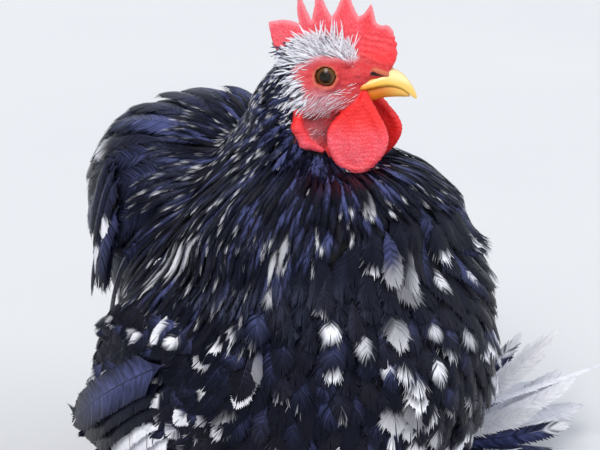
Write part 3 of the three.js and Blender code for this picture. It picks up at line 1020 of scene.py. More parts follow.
def skin_material():
    """Bare skin: red face, redder comb and wattles, pale ear and cheek, yellow scaly toes, with painted
    shade and a painted highlight on the comb's edge.
    """
    n = Nodes("living_skin")
    red, pale, coat = n.attribute("mark")
    scaly, lids, rim = n.attribute("place")
    coarse, fine = n.noise(220.0, 4.0), n.noise(1400.0, 3.0)
    grains = n.math("MULTIPLY", n.math("SUBTRACT", fine, 0.42), 4.0, clamp=True)
    face = n.mix(coarse, *FACE_RED)
    white = n.mix(fine, *FACE_PALE)
    face = n.mix(n.math("MULTIPLY", grains, 0.18), face, FACE_GRAIN)
    base = n.mix(pale, face, white)
    base = n.mix(n.math("MULTIPLY", lids, 0.8), base, LID_ORANGE)
    comb = n.mix(pale, *COMB_RED)
    comb = n.mix(n.math("MULTIPLY", grains, 0.45), comb, n.mix(pale, *COMB_GRAIN))
    # Painted highlight along the comb's upper edge.
    comb = n.mix(n.math("MULTIPLY", rim, 0.6), comb, COMB_EDGE_HIGHLIGHT)
    base = n.mix(red, base, comb)
    base = n.mix(scaly, base, n.mix(coarse, *SCALE_YELLOW))
    # Painted shade under the coat, in the nostril slit and under the jaw.
    base = n.mix(coat, base, PAINTED_SHADE_UNDER_COAT)
    cells = n.add("ShaderNodeTexVoronoi", {"Scale": 900.0})
    n.feed(cells.inputs["Vector"], n.add("ShaderNodeTexCoord").outputs["Object"])
    height = n.math("ADD", n.math("MULTIPLY", cells.outputs["Distance"], 0.6), fine)
    rough = n.math("MULTIPLY_ADD", coarse, 0.2)
    rough.node.inputs[2].default_value = 0.36
    return n.finish(
        Base_Color=base,
        Roughness=rough,
        Specular_IOR_Level=0.34,
        Subsurface_Weight=0.12,
        Subsurface_Radius=(0.0022, 0.0007, 0.0004),
        Subsurface_Scale=1.0,
        Normal=n.relief(height, 0.0003, 0.85),
    )


def horn_material():
    """Beak and claw: streaked yellow horn, `lay` giving share along, warmth and the painted highlight on
    the ridge.
    """
    n = Nodes("horn")
    along, warm, crest = n.attribute("lay")
    streaks = n.noise(160.0, 4.0)
    base = n.mix(streaks, *HORN_YELLOW)
    base = n.mix(warm, base, HORN_WARM)
    base = n.mix(crest, base, HORN_CREST_HIGHLIGHT)
    base = n.mix(n.math("MULTIPLY", along, 0.3), base, HORN_TIP)
    return n.finish(
        Base_Color=base,
        Roughness=0.33,
        Subsurface_Weight=0.08,
        Subsurface_Radius=(0.002, 0.001, 0.0003),
        Coat_Weight=0.25,
        Coat_Roughness=0.2,
        Normal=n.relief(n.noise(700.0, 3.0), 0.00012, 0.5),
    )


def eye_material():
    """`lay` gives the distance from the pupil's middle and the angle round it."""
    n = Nodes("eye")
    away, angle, _ = n.attribute("lay")
    ramp = n.add("ShaderNodeValToRGB", {"Fac": n.math("DIVIDE", away, EYE_REACH)})
    elements = ramp.color_ramp.elements
    while len(elements) < len(EYE_STOPS):
        elements.new(0.5)
    for element, (place, colour) in zip(elements, EYE_STOPS):
        element.position, element.color = place, (*colour, 1)
    fibres = n.add("ShaderNodeCombineXYZ", {"X": n.math("MULTIPLY", angle, 9.0), "Y": away})
    streak = n.noise(1.6, 3.0, fibres.outputs[0])
    base = n.mix(n.math("MULTIPLY", streak, 0.7), ramp.outputs["Color"], IRIS_FIBRE)
    return n.finish(
        Base_Color=base,
        Roughness=0.3,
        Specular_IOR_Level=0.1,
        Coat_Weight=0.6,
        Coat_Roughness=0.03,
        Coat_IOR=1.36,
    )


SOFT = plumage_material("soft_plumage", gloss=0.38, sheen=0.008, shine=0.2)
SLEEK = plumage_material("sleek_plumage", gloss=0.28, sheen=0.005, shine=0.22)
QUILL = plumage_material("flight_quill", gloss=0.3, sheen=0.005, shine=0.12)
MATT = plumage_material("neck_plumage", gloss=0.55, sheen=0.0, shine=0.08)
HORN, EYE = horn_material(), eye_material()


def turned_out(piece):
    """Turns a closed piece's faces outwards."""
    points = mesh_points(piece.data)
    piece.data.calc_loop_triangles()
    corners = read(piece.data.loop_triangles, "vertices", 3, np.int32)
    a, b, c = (points[corners[:, i]] for i in range(3))
    if (a * np.cross(b, c)).sum() < 0:
        piece.data.flip_normals()
    return piece


def wear(piece, material, slot, *nodes):
    """Gives a piece its material, hides the CAD nodes that it stands for and hangs it under the root; slot
    is not used.
    """
    piece.data.materials.clear()
    piece.data.materials.append(material)
    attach(piece, "root")
    if nodes:
        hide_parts(*nodes)
    return piece


wear(skin, skin_material(), "face_skin", *HEAD_NODES, "foot_L", "foot_R", *BODY_NODES)

# ---- Horn and eyes ----


def loft(rings):
    """Quads through closed rings, with a point closing each end."""
    count, around = rings.shape[:2]
    points = np.concatenate([rings.reshape(-1, 3), rings[0].mean(0)[None], rings[-1].mean(0)[None]])
    i = np.arange(count - 1)[:, None] * around
    j = np.arange(around)[None]
    k = (j + 1) % around
    quads = np.stack([i + j, i + k, i + around + k, i + around + j], axis=-1).reshape(-1, 4)
    first, last = len(points) - 2, len(points) - 1
    base = (count - 1) * around
    j, k = j[0], k[0]
    low = np.stack([np.full(around, first), k, j], axis=1)
    high = np.stack([np.full(around, last), base + j, base + k], axis=1)
    return points, quads, np.concatenate([low, high])


# Beak stations from root to tip: forward and height of the ridge, forward and height of the
# cutting edge, half width there.
UPPER_BEAK = (
    (9, -3.4, 9, -8.6, 7.4),
    (14.4, -3, 14, -8.5, 8.0),
    (19, -1.6, 18.4, -7.6, 7.6),
    (23.5, -0.2, 22.5, -6.7, 6.6),
    (27.3, 0.4, 26, -6.4, 5.6),
    (31.2, -1.2, 29.4, -6.8, 4.6),
    (34.3, -4, 32.4, -7.9, 3.5),
    (36.7, -7.4, 34.9, -9.8, 2.3),
    (38.2, -10.4, 37, -11.9, 1.1),
    (38.7, -12.2, 38.4, -12.9, 0.3),
)
LOWER_BEAK = (
    (8, -17.3, 8, -9.2, 6.6),
    (14, -16.2, 14, -8.9, 6.5),
    (19, -14.6, 19, -7.7, 6.0),
    (24, -12.9, 24, -6.6, 5.3),
    (29, -12.3, 28.6, -6.5, 4.4),
    (33, -12.1, 32, -7.7, 3.2),
    (35.4, -12.0, 34.6, -9.9, 1.7),
)


def around(count):
    """Even angles round a ring."""
    return np.linspace(0, 2 * np.pi, count, endpoint=False)


def make_beak(node, stations, arched):
    """Half of the beak; `arched` is how round its cross-section is."""
    turn = around(28)
    across, rise = np.sin(turn), np.cos(turn)
    over = rise > 0
    lift = np.where(over, rise, 0.28 * rise)
    flat = np.sign(across) * np.abs(across) ** np.where(over, arched, 0.8)
    rings = []
    for ridge_y, ridge_z, edge_y, edge_z, wide in curve_through(stations, 40):
        y = edge_y + (ridge_y - edge_y) * np.clip(lift, -1, 1)
        z = edge_z + (ridge_z - edge_z) * np.where(over, lift, -0.1 * rise)
        rings.append(np.stack([wide * flat, y, z], axis=1))
    points, quads, tris = loft(np.array(rings))
    _, forward, up = points.T
    if node == "beak_lower":
        warm, crest = 0.2 + 0.7 * smoothstep(32, 23, forward), np.zeros(len(points))
    else:
        warm = 0.8 * smoothstep(-4, -8.5, up) * smoothstep(34, 16, forward)
        # Painted highlight: the upper beak's ridge is painted pale cream.
        level = up + 0.16 * np.maximum(forward - 26, 0) ** 1.3
        crest = 0.85 * smoothstep(-4.6, -1.2, level)
    lay = {"lay": np.stack([smoothstep(20, 40, forward), warm, crest], axis=1)}
    piece = turned_out(make_object(f"{node}_horn", from_head(points), quads, tris, lay))
    wear(piece, HORN, "beak_horn", node)


def make_eye(side, sign):
    """The eyeball, with a clear bulge over the pupil."""
    rings, lay = [], []
    turn = around(40)
    for polar in np.linspace(0.02, np.pi - 0.02, 36):
        radius = EYE_RADIUS - 0.25 + 0.45 * math.exp(-((polar / 0.42) ** 2))
        away = radius * math.sin(polar)
        middle_of_ring = vec(sign * (EYE_SIDE + radius * math.cos(polar)), -EYE_BACK, -EYE_DROP)
        rings.append(middle_of_ring + away * np.stack([0 * turn, np.cos(turn), np.sin(turn)], axis=1))
        shown = away if polar < np.pi / 2 else EYE_REACH
        lay += [(shown, 2 * abs(t / np.pi - 1), 0) for t in turn]
    lay += [(0, 0, 0), (EYE_REACH, 0, 0)]
    points, quads, tris = loft(np.array(rings))
    piece = make_object(f"eyeball_{side}", from_head(points), quads, tris, {"lay": np.array(lay)})
    wear(turned_out(piece), EYE, "eye", f"eye_{side}")


def claw_mesh(claw, sign):
    """One curved claw: points, quads and triangles."""
    up = vec(0, 0, 1)
    low = np.array([claw[0] * sign, claw[1], 0])
    ahead = unit(low - ANKLE * vec(sign, 1, 0))
    t = np.linspace(0, 1, 14)[:, None]
    path = low - 6 * ahead + TOE_LEVEL + ahead * 11 * t + up * (1.6 * np.sin(t * 2.6) - 2.6 * t * t)
    ring = 0.8 * np.cross(ahead, up) * np.cos(around(14)[:, None]) + up * np.sin(around(14)[:, None])
    return loft(path[:, None] + lerp(1.9, 0.25, t**1.4)[:, None] * ring)


def make_claws(side, sign):
    meshes = [claw_mesh(claw, sign) for claw in CLAWS]
    points, quads, tris = joined(meshes)
    points[:, 2] = np.maximum(points[:, 2], 0.3)
    lay = np.zeros(points.shape)
    lay[:, 0] = np.concatenate([np.linspace(0, 1, len(mesh[0])) for mesh in meshes])
    piece = make_object(f"claws_{side}", points, quads, tris, {"lay": lay})
    wear(turned_out(piece), HORN, "beak_horn", *[f"claw_{side}{toe}" for toe in range(1, 5)])


make_beak("beak_upper", UPPER_BEAK, 0.9)
make_beak("beak_lower", LOWER_BEAK, 0.75)
for part in (make_eye, make_claws):
    for side, sign in SIDES:
        part(side, sign)

# ---- Feathers ----

# Outlines of a vane, by share of its length: where it is full, where it begins to narrow and over
# how much, by how much it narrows, and how late.
LANCE = (0.3, 0.3, 0.7, 0.92, 1.7)
ROUND = (0.3, 0.5, 0.5, 0.95, 2.6)
STRAP = (0.12, 0.7, 0.3, 0.95, 2.4)
MOST_TRIANGLES = 180_000  # in one piece of the coat
SHAFT_STATIONS = 9

# The OFBake map: the side of one feather's cell, how much of the map the cells fill, how far a free cell is
# looked for, and where the feather lies inside its cell.
PATCH = 0.003
MAP_FILLED = 0.98
MAP_SEARCH = 12
CELL_MIDDLE, CELL_OUT = 0.45, 0.35
CELL_ROOT, CELL_LENGTH = 0.08, 0.8


class Kind:
    """How one kind of feather is built: its barbs a side, and rows of points out along a barb."""

    def __init__(self, shape, barbs, rows, sweep, bare, cup=0.25, fray=0.12, shaft=0, stations=8):
        self.shape, self.barbs, self.rows, self.sweep = shape, barbs, rows, sweep
        self.bare, self.cup, self.fray, self.shaft = bare, cup, fray, shaft
        self.stations = stations

    def triangles(self):
        on_vane = self.barbs * 2 * (2 * (len(self.rows) - 1) + 1)
        return on_vane + (4 * (SHAFT_STATIONS - 1) if self.shaft else 0)


NAPE = Kind(LANCE, 12, (0, 0.6), (1.4, 2.2), 0.1, fray=0.16, stations=6)
COLLAR = Kind(STRAP, 14, (0, 0.6), (1.2, 2.0), 0.0, fray=0.16, stations=6)
HACKLE = Kind(LANCE, 22, (0, 0.6), (1.6, 2.4), 0.12, fray=0.16, stations=9)
CONTOUR = Kind(ROUND, 46, (0, 0.45, 0.82), (0.7, 1.3), 0.15, cup=0.3, fray=0.2)
PLUME = Kind(STRAP, 84, (0, 0.4, 0.76), (0.9, 1.5), 0.08, fray=0.16, shaft=0.34, stations=12)
SADDLE = Kind(LANCE, 26, (0, 0.4, 0.76), (1.0, 1.7), 0.15, fray=0.12, shaft=0.2)
FLUFF = Kind(ROUND, 30, (0, 0.3, 0.6), (0.7, 1.3), 0.1, fray=0.2)
COVERT = Kind(ROUND, 28, (0, 0.5, 0.88), (0.5, 0.9), 0.15, fray=0.07, shaft=0.28)
SICKLE = Kind(STRAP, 52, (0, 0.45, 0.8), (0.8, 1.5), 0.05, fray=0.15, shaft=0.35, stations=14)
FLIGHT = Kind(STRAP, 70, (0, 0.5, 0.94), (0.7, 1.0), 0.02, cup=0.14, fray=0.03, shaft=0.5, stations=12)
FOOT = Kind(STRAP, 40, (0, 0.45, 0.82), (0.9, 1.3), 0.08, fray=0.14, shaft=0.45, stations=12)


def barb_reach(shape, x):
    """Half width where the barb at share x along the shaft ends, of the feather's widest."""
    full, narrowing, span, loss, late = shape
    return np.clip(x / full, 0, 1) ** 0.6 * (1 - loss * np.clip((x - narrowing) / span, 0, 1) ** late)


def deeper(values, axes):
    """The values with further axes of length one."""
    return values.reshape(values.shape + (1,) * axes)


def flat(*layers):
    """Rows of values, one from each layer, all spread to the same shape."""
    return np.stack(np.broadcast_arrays(*layers), axis=-1).reshape(-1, len(layers))


def grid_quads(ids):
    """Quads between neighbours on the last two axes of a grid of vertex numbers."""
    corners = (ids[..., :-1, :-1], ids[..., 1:, :-1], ids[..., 1:, 1:], ids[..., :-1, 1:])
    return np.stack(corners, axis=-1)


def numbered(points):
    """Vertex numbers of points laid out on a grid."""
    return np.arange(points[..., 0].size).reshape(points.shape[:-1])


def last_barb(kind, width, length):
    """Share of the shaft where the last barbs leave it, so that they end at the feather's tip."""
    return 1 - 1.02 * kind.sweep[1] * width / length


def along_path(values, share):
    """values (feathers, stations, 3) read at share (feathers, ...) of the path."""
    count = values.shape[1] - 1
    at = np.clip(share, 0, 1) * count
    i = np.minimum(at.astype(int), count - 1)

    def pick(k):
        chosen = np.take_along_axis(values, k.reshape(len(values), -1)[..., None], axis=1)
        return chosen.reshape(*k.shape, 3)

    return lerp(pick(i), pick(i + 1), (at - i)[..., None])


class Flock:
    """Gathers the feathers of one piece: points, faces, marks and their place on the map."""

    def __init__(self, name):
        self.name, self.parts = name, []

    def put(self, points, quads, tris, lay, mark, uv):
        self.parts.append((points.reshape(-1, 3), quads.reshape(-1, 4), tris.reshape(-1, 3), lay, mark, uv))

    def make(self, material, slot, *nodes):
        points, quads, tris = joined([part[:3] for part in self.parts])
        lay, mark, uv = (np.concatenate([part[i] for part in self.parts]) for i in (3, 4, 5))
        piece = make_object(self.name, points, quads, tris, {"lay": lay, "mark": mark}, uv)
        return wear(piece, material, slot, *nodes)


def map_places(roots):
    """Each root's own small cell of the map, at the skin's place nearest to it."""
    _, _, face = skin_shape.nearest(roots)
    side = int(MAP_FILLED / PATCH)
    wanted = np.clip((skin_face_uv[face] / PATCH).astype(int), 1, side)
    taken, cells = set(), []
    for u, v in wanted.tolist():
        chosen = (u, v)
        for ring in range(MAP_SEARCH):
            steps = range(-ring, ring + 1)
            square = [(u + a, v + b) for a in steps for b in steps if max(abs(a), abs(b)) == ring]
            inside = [cell for cell in square if min(cell) > 0 and max(cell) <= side]
            free = [cell for cell in inside if cell not in taken]
            if free:
                chosen = free[0]
                taken.add(chosen)
                break
        cells.append(chosen)
    return np.array(cells) * PATCH


def on_map(cells, share, out):
    """Map places inside each feather's cell, by share along it and out from its middle."""
    u, v = (deeper(column, share.ndim - 1) for column in cells.T)
    along = CELL_ROOT + CELL_LENGTH * np.clip(share, 0, 1)
    return flat(u + PATCH * (CELL_MIDDLE + CELL_OUT * out), v + PATCH * along)


def whiteness(white, share, across, aside, wander):
    """How white each place of a vane is, by share along, way out along the barb, and side."""
    amount, begin, keep, oval, lean, soft = (deeper(column, share.ndim - 1) for column in white.T)
    past = share - begin - wander - keep * across - 0.14 * lean * aside
    tip = smoothstep(0, 1, past / (0.07 + 0.4 * soft))
    ring = np.hypot((share - begin - 0.08) / 0.1, (aside - 0.3 * lean) / np.maximum(oval, 0.01))
    spot = smoothstep(1.25, 0.65, ring + 9 * wander)
    return amount * np.where(oval > 0, spot, tip)


Points = namedtuple("Points", "share out aside spots")


def off_path(directions, base, share, out, lift):
    """Places beside and above the base places, which lie at share along the path."""
    _, normal, aside = directions
    spots = base + along_path(aside, share) * out[..., None]
    return spots + along_path(normal, share) * lift[..., None]


def vane_points(kind, directions, width, length, end, warp, rng):
    """The points in rows out along each barb, and the tips between barbs.

    share is how far along the shaft they lie, out how far beside it in millimetres, aside the
    same as a share of the feather's widest, and spots is where."""
    path, count, barbs, rows = directions[0], len(width), kind.barbs, np.array(kind.rows)
    side = np.array([-1.0, 1.0])[:, None, None]
    # Barbs leave the shaft at `start` and sweep forwards as they run out.
    x = np.linspace(0, 1, barbs + 1)
    reach = barb_reach(kind.shape, x)
    start = lerp(kind.bare, end[:, None], x[None] ** (1 if kind.shape == STRAP else 0.75))
    ragged = 1 + 0.05 * rng.standard_normal((count, 2, barbs + 1))
    slope, half_width = deeper(width / length, 3), deeper(width, 3)
    share = start[:, None, :, None] + lerp(*kind.sweep, x)[:, None] * slope * rows**1.4
    share = np.broadcast_to(share, (count, 2, barbs + 1, len(rows)))
    out = side * half_width * reach[:, None] * ragged[..., None] * rows**0.92
    waves = np.sin(9 * share + 6.28 * rng.random((count, 1, 1, 1)))
    lift = -kind.cup * out**2 / np.maximum(half_width, 1) + warp * half_width * waves * rows**2
    spots = off_path(directions, along_path(path, share), share, out, lift)
    along_barbs = Points(share, out, side * rows * reach[:, None], spots)
    # Barbs cling together in little groups, so that the edge is notched.
    side, half_width = side[..., 0], deeper(width, 2)
    x = (x[:-1] + x[1:]) / 2
    reach = barb_reach(kind.shape, x)
    group = np.repeat(rng.random((count, 2, barbs // 3 + 1)), 3, axis=2)[..., :barbs]
    stretch = 1 + kind.fray * (group - 0.5) * 2 + 0.5 * kind.fray * rng.standard_normal(group.shape)
    share = ((start[:, :-1] + start[:, 1:]) / 2)[:, None] + lerp(*kind.sweep, x) * slope[..., 0] * stretch
    out = side * half_width * reach * stretch
    lift = -kind.cup * out**2 / np.maximum(half_width, 1)
    lift = lift + kind.fray * 0.35 * half_width * rng.standard_normal(group.shape)
    over = np.maximum(share - 1, 0)[..., None] * deeper(length, 3)
    tangent = unit(np.gradient(path, axis=1))
    base = along_path(path, share) + along_path(tangent, share) * over
    return along_barbs, Points(share, out, side * reach, off_path(directions, base, share, out, lift))


def vane_marks(kind, barbs, tips, white, sheen_paint, downy, rng):
    """What the materials read on a vane: white, painted sheen and downy, and how the barbs lie."""
    rows, per_barb = np.array(kind.rows), (len(white), 2, kind.barbs + 1, 1)
    # Painted sheen: the blue is strongest in the middle of each vane; painted shade darkens it towards the
    # edge and the tip.
    uneven = min(1, kind.fray / 0.1)
    barb_sheen_paint = 0.5 + 0.16 * uneven * rng.standard_normal(per_barb)
    barb_sheen_paint = barb_sheen_paint * lerp(1.15, 0.5, rows**1.5) * lerp(1.25, 0.4, smoothstep(0.5, 0.98, barbs.share))
    barb_sheen_paint = np.clip(barb_sheen_paint * deeper(sheen_paint, 3) * 2, 0, 1)
    tip_sheen_paint = 0.4 * (barb_sheen_paint[:, :, :-1, -1] + barb_sheen_paint[:, :, 1:, -1]) / 2
    wander = 0.025 * rng.standard_normal(per_barb)
    snow = whiteness(white, barbs.share, rows, barbs.aside, wander)
    tip_snow = whiteness(white, np.minimum(tips.share, 1.05), 1.0, tips.aside, wander[:, :, :-1, 0])
    mark = [flat(snow, barb_sheen_paint, deeper(downy, 3)), flat(tip_snow, tip_sheen_paint, deeper(downy, 2))]
    strand = np.arange(kind.barbs + 1.0)[:, None] * lerp(0.2, 1.1, uneven)
    strand = strand + 50 * rng.random((len(white), 2, 1, 1))
    lay = [flat(barbs.share * 6, rows * 2, strand), flat(tips.share * 6, 2.0, strand[:, :, :-1, 0])]
    return np.concatenate(lay), np.concatenate(mark)


def build(flock, kind, path, normal, width, white, sheen_paint, downy, rng, cells, warp=0.0):
    """Adds feathers to a flock.

    path, normal: (feathers, stations, 3). width: half width. white: (feathers, 6) of how much,
    where along it starts, how far it keeps to the middle, the half width of an oval mark (0 for
    a white tip), its lean to one side and how softly it begins. sheen_paint: painted blue sheen.
    downy: how brown it is. cells: corners on the map. warp: how much the vane ripples."""
    tangent = unit(np.gradient(path, axis=1))
    normal = unit(square_to(normal, tangent))
    directions = (path, normal, np.cross(tangent, normal))
    length = np.linalg.norm(np.diff(path, axis=1), axis=-1).sum(axis=1)
    end = last_barb(kind, width, length)
    barbs, tips = vane_points(kind, directions, width, length, end, warp, rng)
    lay, mark = vane_marks(kind, barbs, tips, white, sheen_paint, downy, rng)
    # Faces, with those of the second side turned over.
    ids = numbered(barbs.spots)
    quads = grid_quads(ids)
    quads[:, 1] = quads[:, 1, ..., ::-1]
    tris = np.stack([ids[:, :, :-1, -1], ids[:, :, 1:, -1], ids.size + numbered(tips.spots)], axis=-1)
    tris[:, 1] = tris[:, 1, ..., ::-1]
    points = np.concatenate([part.spots.reshape(-1, 3) for part in (barbs, tips)])
    out = (barbs.out / deeper(width, 3), tips.out / deeper(width, 2))
    uv = np.concatenate([on_map(cells, barbs.share, out[0]), on_map(cells, tips.share, out[1])])
    flock.put(points, quads, tris, lay, mark, uv)
    if kind.shaft:
        add_shafts(flock, kind, directions, end, white, cells)


def add_shafts(flock, kind, directions, end, white, cells):
    """A thin ridged shaft down the middle of each feather."""
    taper = np.linspace(0, 1, SHAFT_STATIONS)
    share = taper[None] * end[:, None]
    spot, up, out = (along_path(values, share) for values in directions)
    thick = kind.shaft * lerp(1.0, 0.25, taper)[None, :, None]
    rail = np.stack([spot - out * thick, spot + up * thick * 0.9, spot + out * thick], axis=2)
    ids = numbered(rail)
    quads = grid_quads(ids)[..., [0, 3, 2, 1]]
    snow = white[:, 0:1] * smoothstep(0, 0.1, share - white[:, 1:2])
    blank, along = np.zeros(ids.shape), share[..., None]
    u = cells[:, 0].reshape(-1, 1, 1) + PATCH * CELL_MIDDLE + np.array([-1, 0, 1]) * PATCH * 0.05
    v = cells[:, 1].reshape(-1, 1, 1) + PATCH * (CELL_ROOT + CELL_LENGTH * along)
    # Shafts get painted sheen 0.8 and downy 0.6.
    mark = flat(snow[..., None], blank + 0.8, 0.6)
    flock.put(rail, quads, np.empty((0, 3), int), flat(along * 6, blank, 0.0), mark, flat(u, v))


# ---- How the coat lies ----


def flow(points, normals):
    """The way that feathers point at places on the outline."""
    x, y, z = points.T
    away = unit(points - (HEAD + vec(0, 2, 4)))
    # Backwards and down behind the face.
    near = smoothstep(58, 30, np.linalg.norm(points - HEAD, axis=1))
    near = (near * smoothstep(-37, -27, z - HEAD[2]))[:, None]
    away = lerp(away, unit(vec(0, 0, -0.8) - FORWARD), near)
    # Backwards under the belly.
    away = away + smoothstep(110, 30, z)[:, None] * vec(0, 0.9, -0.1)
    # Along the closed wing.
    flank = smoothstep(58, 74, np.abs(x)) * smoothstep(-85, -50, y) * smoothstep(80, 50, y)
    flank = (flank * smoothstep(30, 60, z) * smoothstep(150, 125, z))[:, None]
    away = lerp(away, unit(vec(0, 0.8, -0.62)), 0.75 * flank)
    swirl = np.stack([value_noise(points, 34, 31 + i) for i in range(3)], axis=1)
    return unit(square_to(away + 0.22 * swirl, normals))


def trace(spots, normals, length, stations, turn, surface=outline):
    """Feather paths that follow the lie of the coat over a surface."""
    path, ups = [spots], [normals]
    droop = vec(0, 0, -0.16)
    way = flow(spots, normals)
    way = unit(way + np.cross(way, normals) * turn[:, None])
    step = (length / (stations - 1))[:, None]
    here, up = spots, normals
    for _ in range(stations - 1):
        ahead = here + way * step
        found, facing, _ = surface.nearest(ahead)
        # Past a sharp edge of the surface the feather runs on freely.
        held = smoothstep(0.45, 0.85, (facing * up).sum(-1))[:, None]
        here = lerp(ahead, found, held)
        here = lerp(lerp(path[-1], here, 0.5), here, held)
        up = unit(lerp(up, facing, held))
        way = unit(lerp(way, 0.55 * way + 0.45 * flow(here, up), held))
        way = unit(way - held * (way * up).sum(-1, keepdims=True) * up + (1 - held) * droop)
        path.append(here)
        ups.append(up)
    return np.stack(path, axis=1), np.stack(ups, axis=1)


def straightened(path):
    """The same paths run straight on the way they begin."""
    far = np.linalg.norm(path - path[:, :1], axis=-1)[..., None]
    return path[:, :1] + unit(path[:, 2] - path[:, 0])[:, None] * far


def sunk(path, ups, depth, rise, lift):
    """Sinks the root end below the outline and lets the tip rise to it."""
    t = np.linspace(0, 1, path.shape[1])[None]
    level = -depth[:, None] * (1 - t) ** 1.5 + lift[:, None] * t**2 - rise
    return path + ups * level[..., None]


# The coat's regions. Each has its kind of feather, the gap between roots (None where it changes
# along the neck), the depth that the roots are sunk by, how far under the outline the tips stay,
# and the share of feathers with white marks.
NAPE_AT, NECK_AT, BODY_AT, SADDLE_AT, BELLY_AT, WING_AT, TAIL_AT = range(7)
BARE = -1
Region = namedtuple("Region", "name kind gap depth rise white_share")
REGIONS = {
    NAPE_AT: Region("nape", NAPE, 2.3, 4.0, 0.3, 0.62),
    NECK_AT: Region("hackle", HACKLE, None, 9.0, 0.6, 0.2),
    BODY_AT: Region("contour", CONTOUR, 6.9, 12.0, 1.4, 0.27),
    SADDLE_AT: Region("saddle", SADDLE, 7.0, 12.0, 1.2, 0.07),
    BELLY_AT: Region("fluff", FLUFF, 7.6, 10.0, 1.0, 0.25),
    WING_AT: Region("covert", COVERT, 5.6, 8.0, 0.6, 0.26),
    TAIL_AT: Region("tail_cover", PLUME, 9.0, 14.0, 1.6, 0.05),
}
# Length and half width where they are the same all over a region.
EVEN_SIZES = {BODY_AT: (38.0, 6.6), SADDLE_AT: (52.0, 6.6), BELLY_AT: (34.0, 8.6), TAIL_AT: (70.0, 8.6)}
COAT_TRIES = 160_000  # random places, from which those too near to another are left out
LEG_TOP = 34
SADDLE_BEHIND, SADDLE_ABOVE = 38, 120  # behind the head's middle, and above the ground
HACKLE_END = (188, 148)  # heights where the hackle ends, at the throat and behind
NAPE_END = -34  # below the head's middle


def coat_sites(rng):
    """Roots over the whole outline, as (spots, normals) of each region."""
    spots, normals, face = outline.scatter(COAT_TRIES, rng)
    label = vertex_label[outline.faces[face]][:, 0]
    _, y, z = spots.T
    on_head = near_head(spots)
    on = {name: label == i for i, name in enumerate(COAT_NODES)}
    wing = on["wing_L"] | on["wing_R"]
    neck = on["neck"] | on["head"]
    lies_in = np.full(len(spots), BODY_AT)
    lies_in[wing] = WING_AT
    lies_in[on["thigh_L"] | on["thigh_R"] | (z < LEG_TOP)] = BELLY_AT
    lies_in[~neck & ~wing & (y > HEAD[1] + SADDLE_BEHIND) & (z > SADDLE_ABOVE)] = SADDLE_AT
    lies_in[on["tail"]] = TAIL_AT
    lies_in[neck & (z > lerp(*HACKLE_END, behind_throat(y)))] = NECK_AT
    lies_in[on_head & (to_head(spots)[:, 2] > NAPE_END)] = NAPE_AT
    lies_in[on_head & (feathered(spots) < 0.5)] = BARE
    sites = {}
    for region, plan in REGIONS.items():
        here = np.nonzero(lies_in == region)[0]
        gaps = np.full(len(here), plan.gap or 0.0)
        if region == NECK_AT:
            gaps = lerp(3.7, 2.3, smoothstep(150, 205, z[here]))
        here = here[spaced(spots[here], gaps)]
        sites[region] = spots[here], normals[here]
    return sites


def behind_throat(y):
    """0 in front of the neck, 1 behind it."""
    return smoothstep(-45, -5, y - HEAD[1])


def measures(region, spots):
    """Length and half width of a region's feathers."""
    _, y, z = spots.T
    if region == NAPE_AT:
        down = smoothstep(4, NAPE_END, to_head(spots)[:, 2])
        return lerp(11, 22, down), lerp(1.3, 2.0, down)
    if region == NECK_AT:
        high = smoothstep(150, 206, z)
        return lerp(66, 32, high) * lerp(0.48, 1, behind_throat(y)), lerp(2.9, 2.1, high)
    if region == WING_AT:
        return lerp(30, 15, smoothstep(15, 50, y)), np.full(len(z), 6.0)
    length, width = EVEN_SIZES[region]
    return np.full(len(z), length), np.full(len(z), width)


# Where the photo shows larger patches of white: the place of the feathers' tips and the spread.
WHITE_PATCHES = (
    (vec(-18, -106, 146), 10),
    (vec(-21, -112, 128), 8),
    (vec(-27, -120, 86), 9),
    (vec(-79, -63, 104), 8),
    (vec(-62, -72, 155), 6),
    (vec(-77, -17, 147), 8),
    (vec(-82, -4, 134), 6),
    (vec(-20, -90, 176), 5),
    (vec(-27, -78, 184), 5),
    (vec(-45, -98, 130), 7),
)
PATCHED = (NECK_AT, BODY_AT, SADDLE_AT, WING_AT)


def mark_shapes(region, n, last, rng):
    """Where the white of n feathers begins, its keep to the middle, oval, lean and softness.

    It begins near `last`, where the last barbs leave the shaft, so that it makes a round tip."""
    begin = lerp(last - 0.12, 0.93, rng.random(n) ** 0.7)
    keep = rng.uniform(-0.06, 0.14, n)
    narrow = rng.random(n) < 0.25
    keep = np.where(narrow, rng.uniform(0.1, 0.2, n), keep)
    begin = np.where(narrow, begin - 0.08, begin)
    # Some marks are ovals or drops short of the tip, and many lean to one side.
    round_mark = (rng.random(n) < 0.5) & (region not in (NAPE_AT, NECK_AT))
    oval = np.where(round_mark, rng.uniform(0.22, 0.6, n), 0)
    begin = np.where(round_mark, begin - rng.uniform(0.02, 0.1, n), begin)
    lean = rng.normal(0, 0.8, n)
    soft = np.where(rng.random(n) < 0.2, 0.3, 0.0)
    if region in (NAPE_AT, NECK_AT):
        begin = last + rng.uniform(-0.02, 0.06, n)
        keep = rng.uniform(-0.02, 0.03, n)
    return np.stack([begin, keep, oval, lean, soft])


def white_patches(tips, chance, shapes, rng):
    """In a few places the white reaches far up the feather, and is softer."""
    n = len(tips)
    patched = np.zeros(n, bool)
    begin, keep, oval, lean, soft = shapes
    for place, reach in WHITE_PATCHES:
        inside = np.linalg.norm(tips - place, axis=1) < reach
        inside &= rng.random(n) < 0.75
        patched |= inside
        chance = np.where(inside, 1.0, chance)
        begin = np.where(inside, rng.uniform(0.3, 0.62, n), begin)
        keep = np.where(inside, rng.uniform(-0.1, 0.25, n), keep)
        oval = np.where(inside, 0, oval)
        soft = np.where(inside, rng.uniform(0.5, 1.2, n), soft)
    return patched, chance, np.stack([begin, keep, oval, lean, soft])


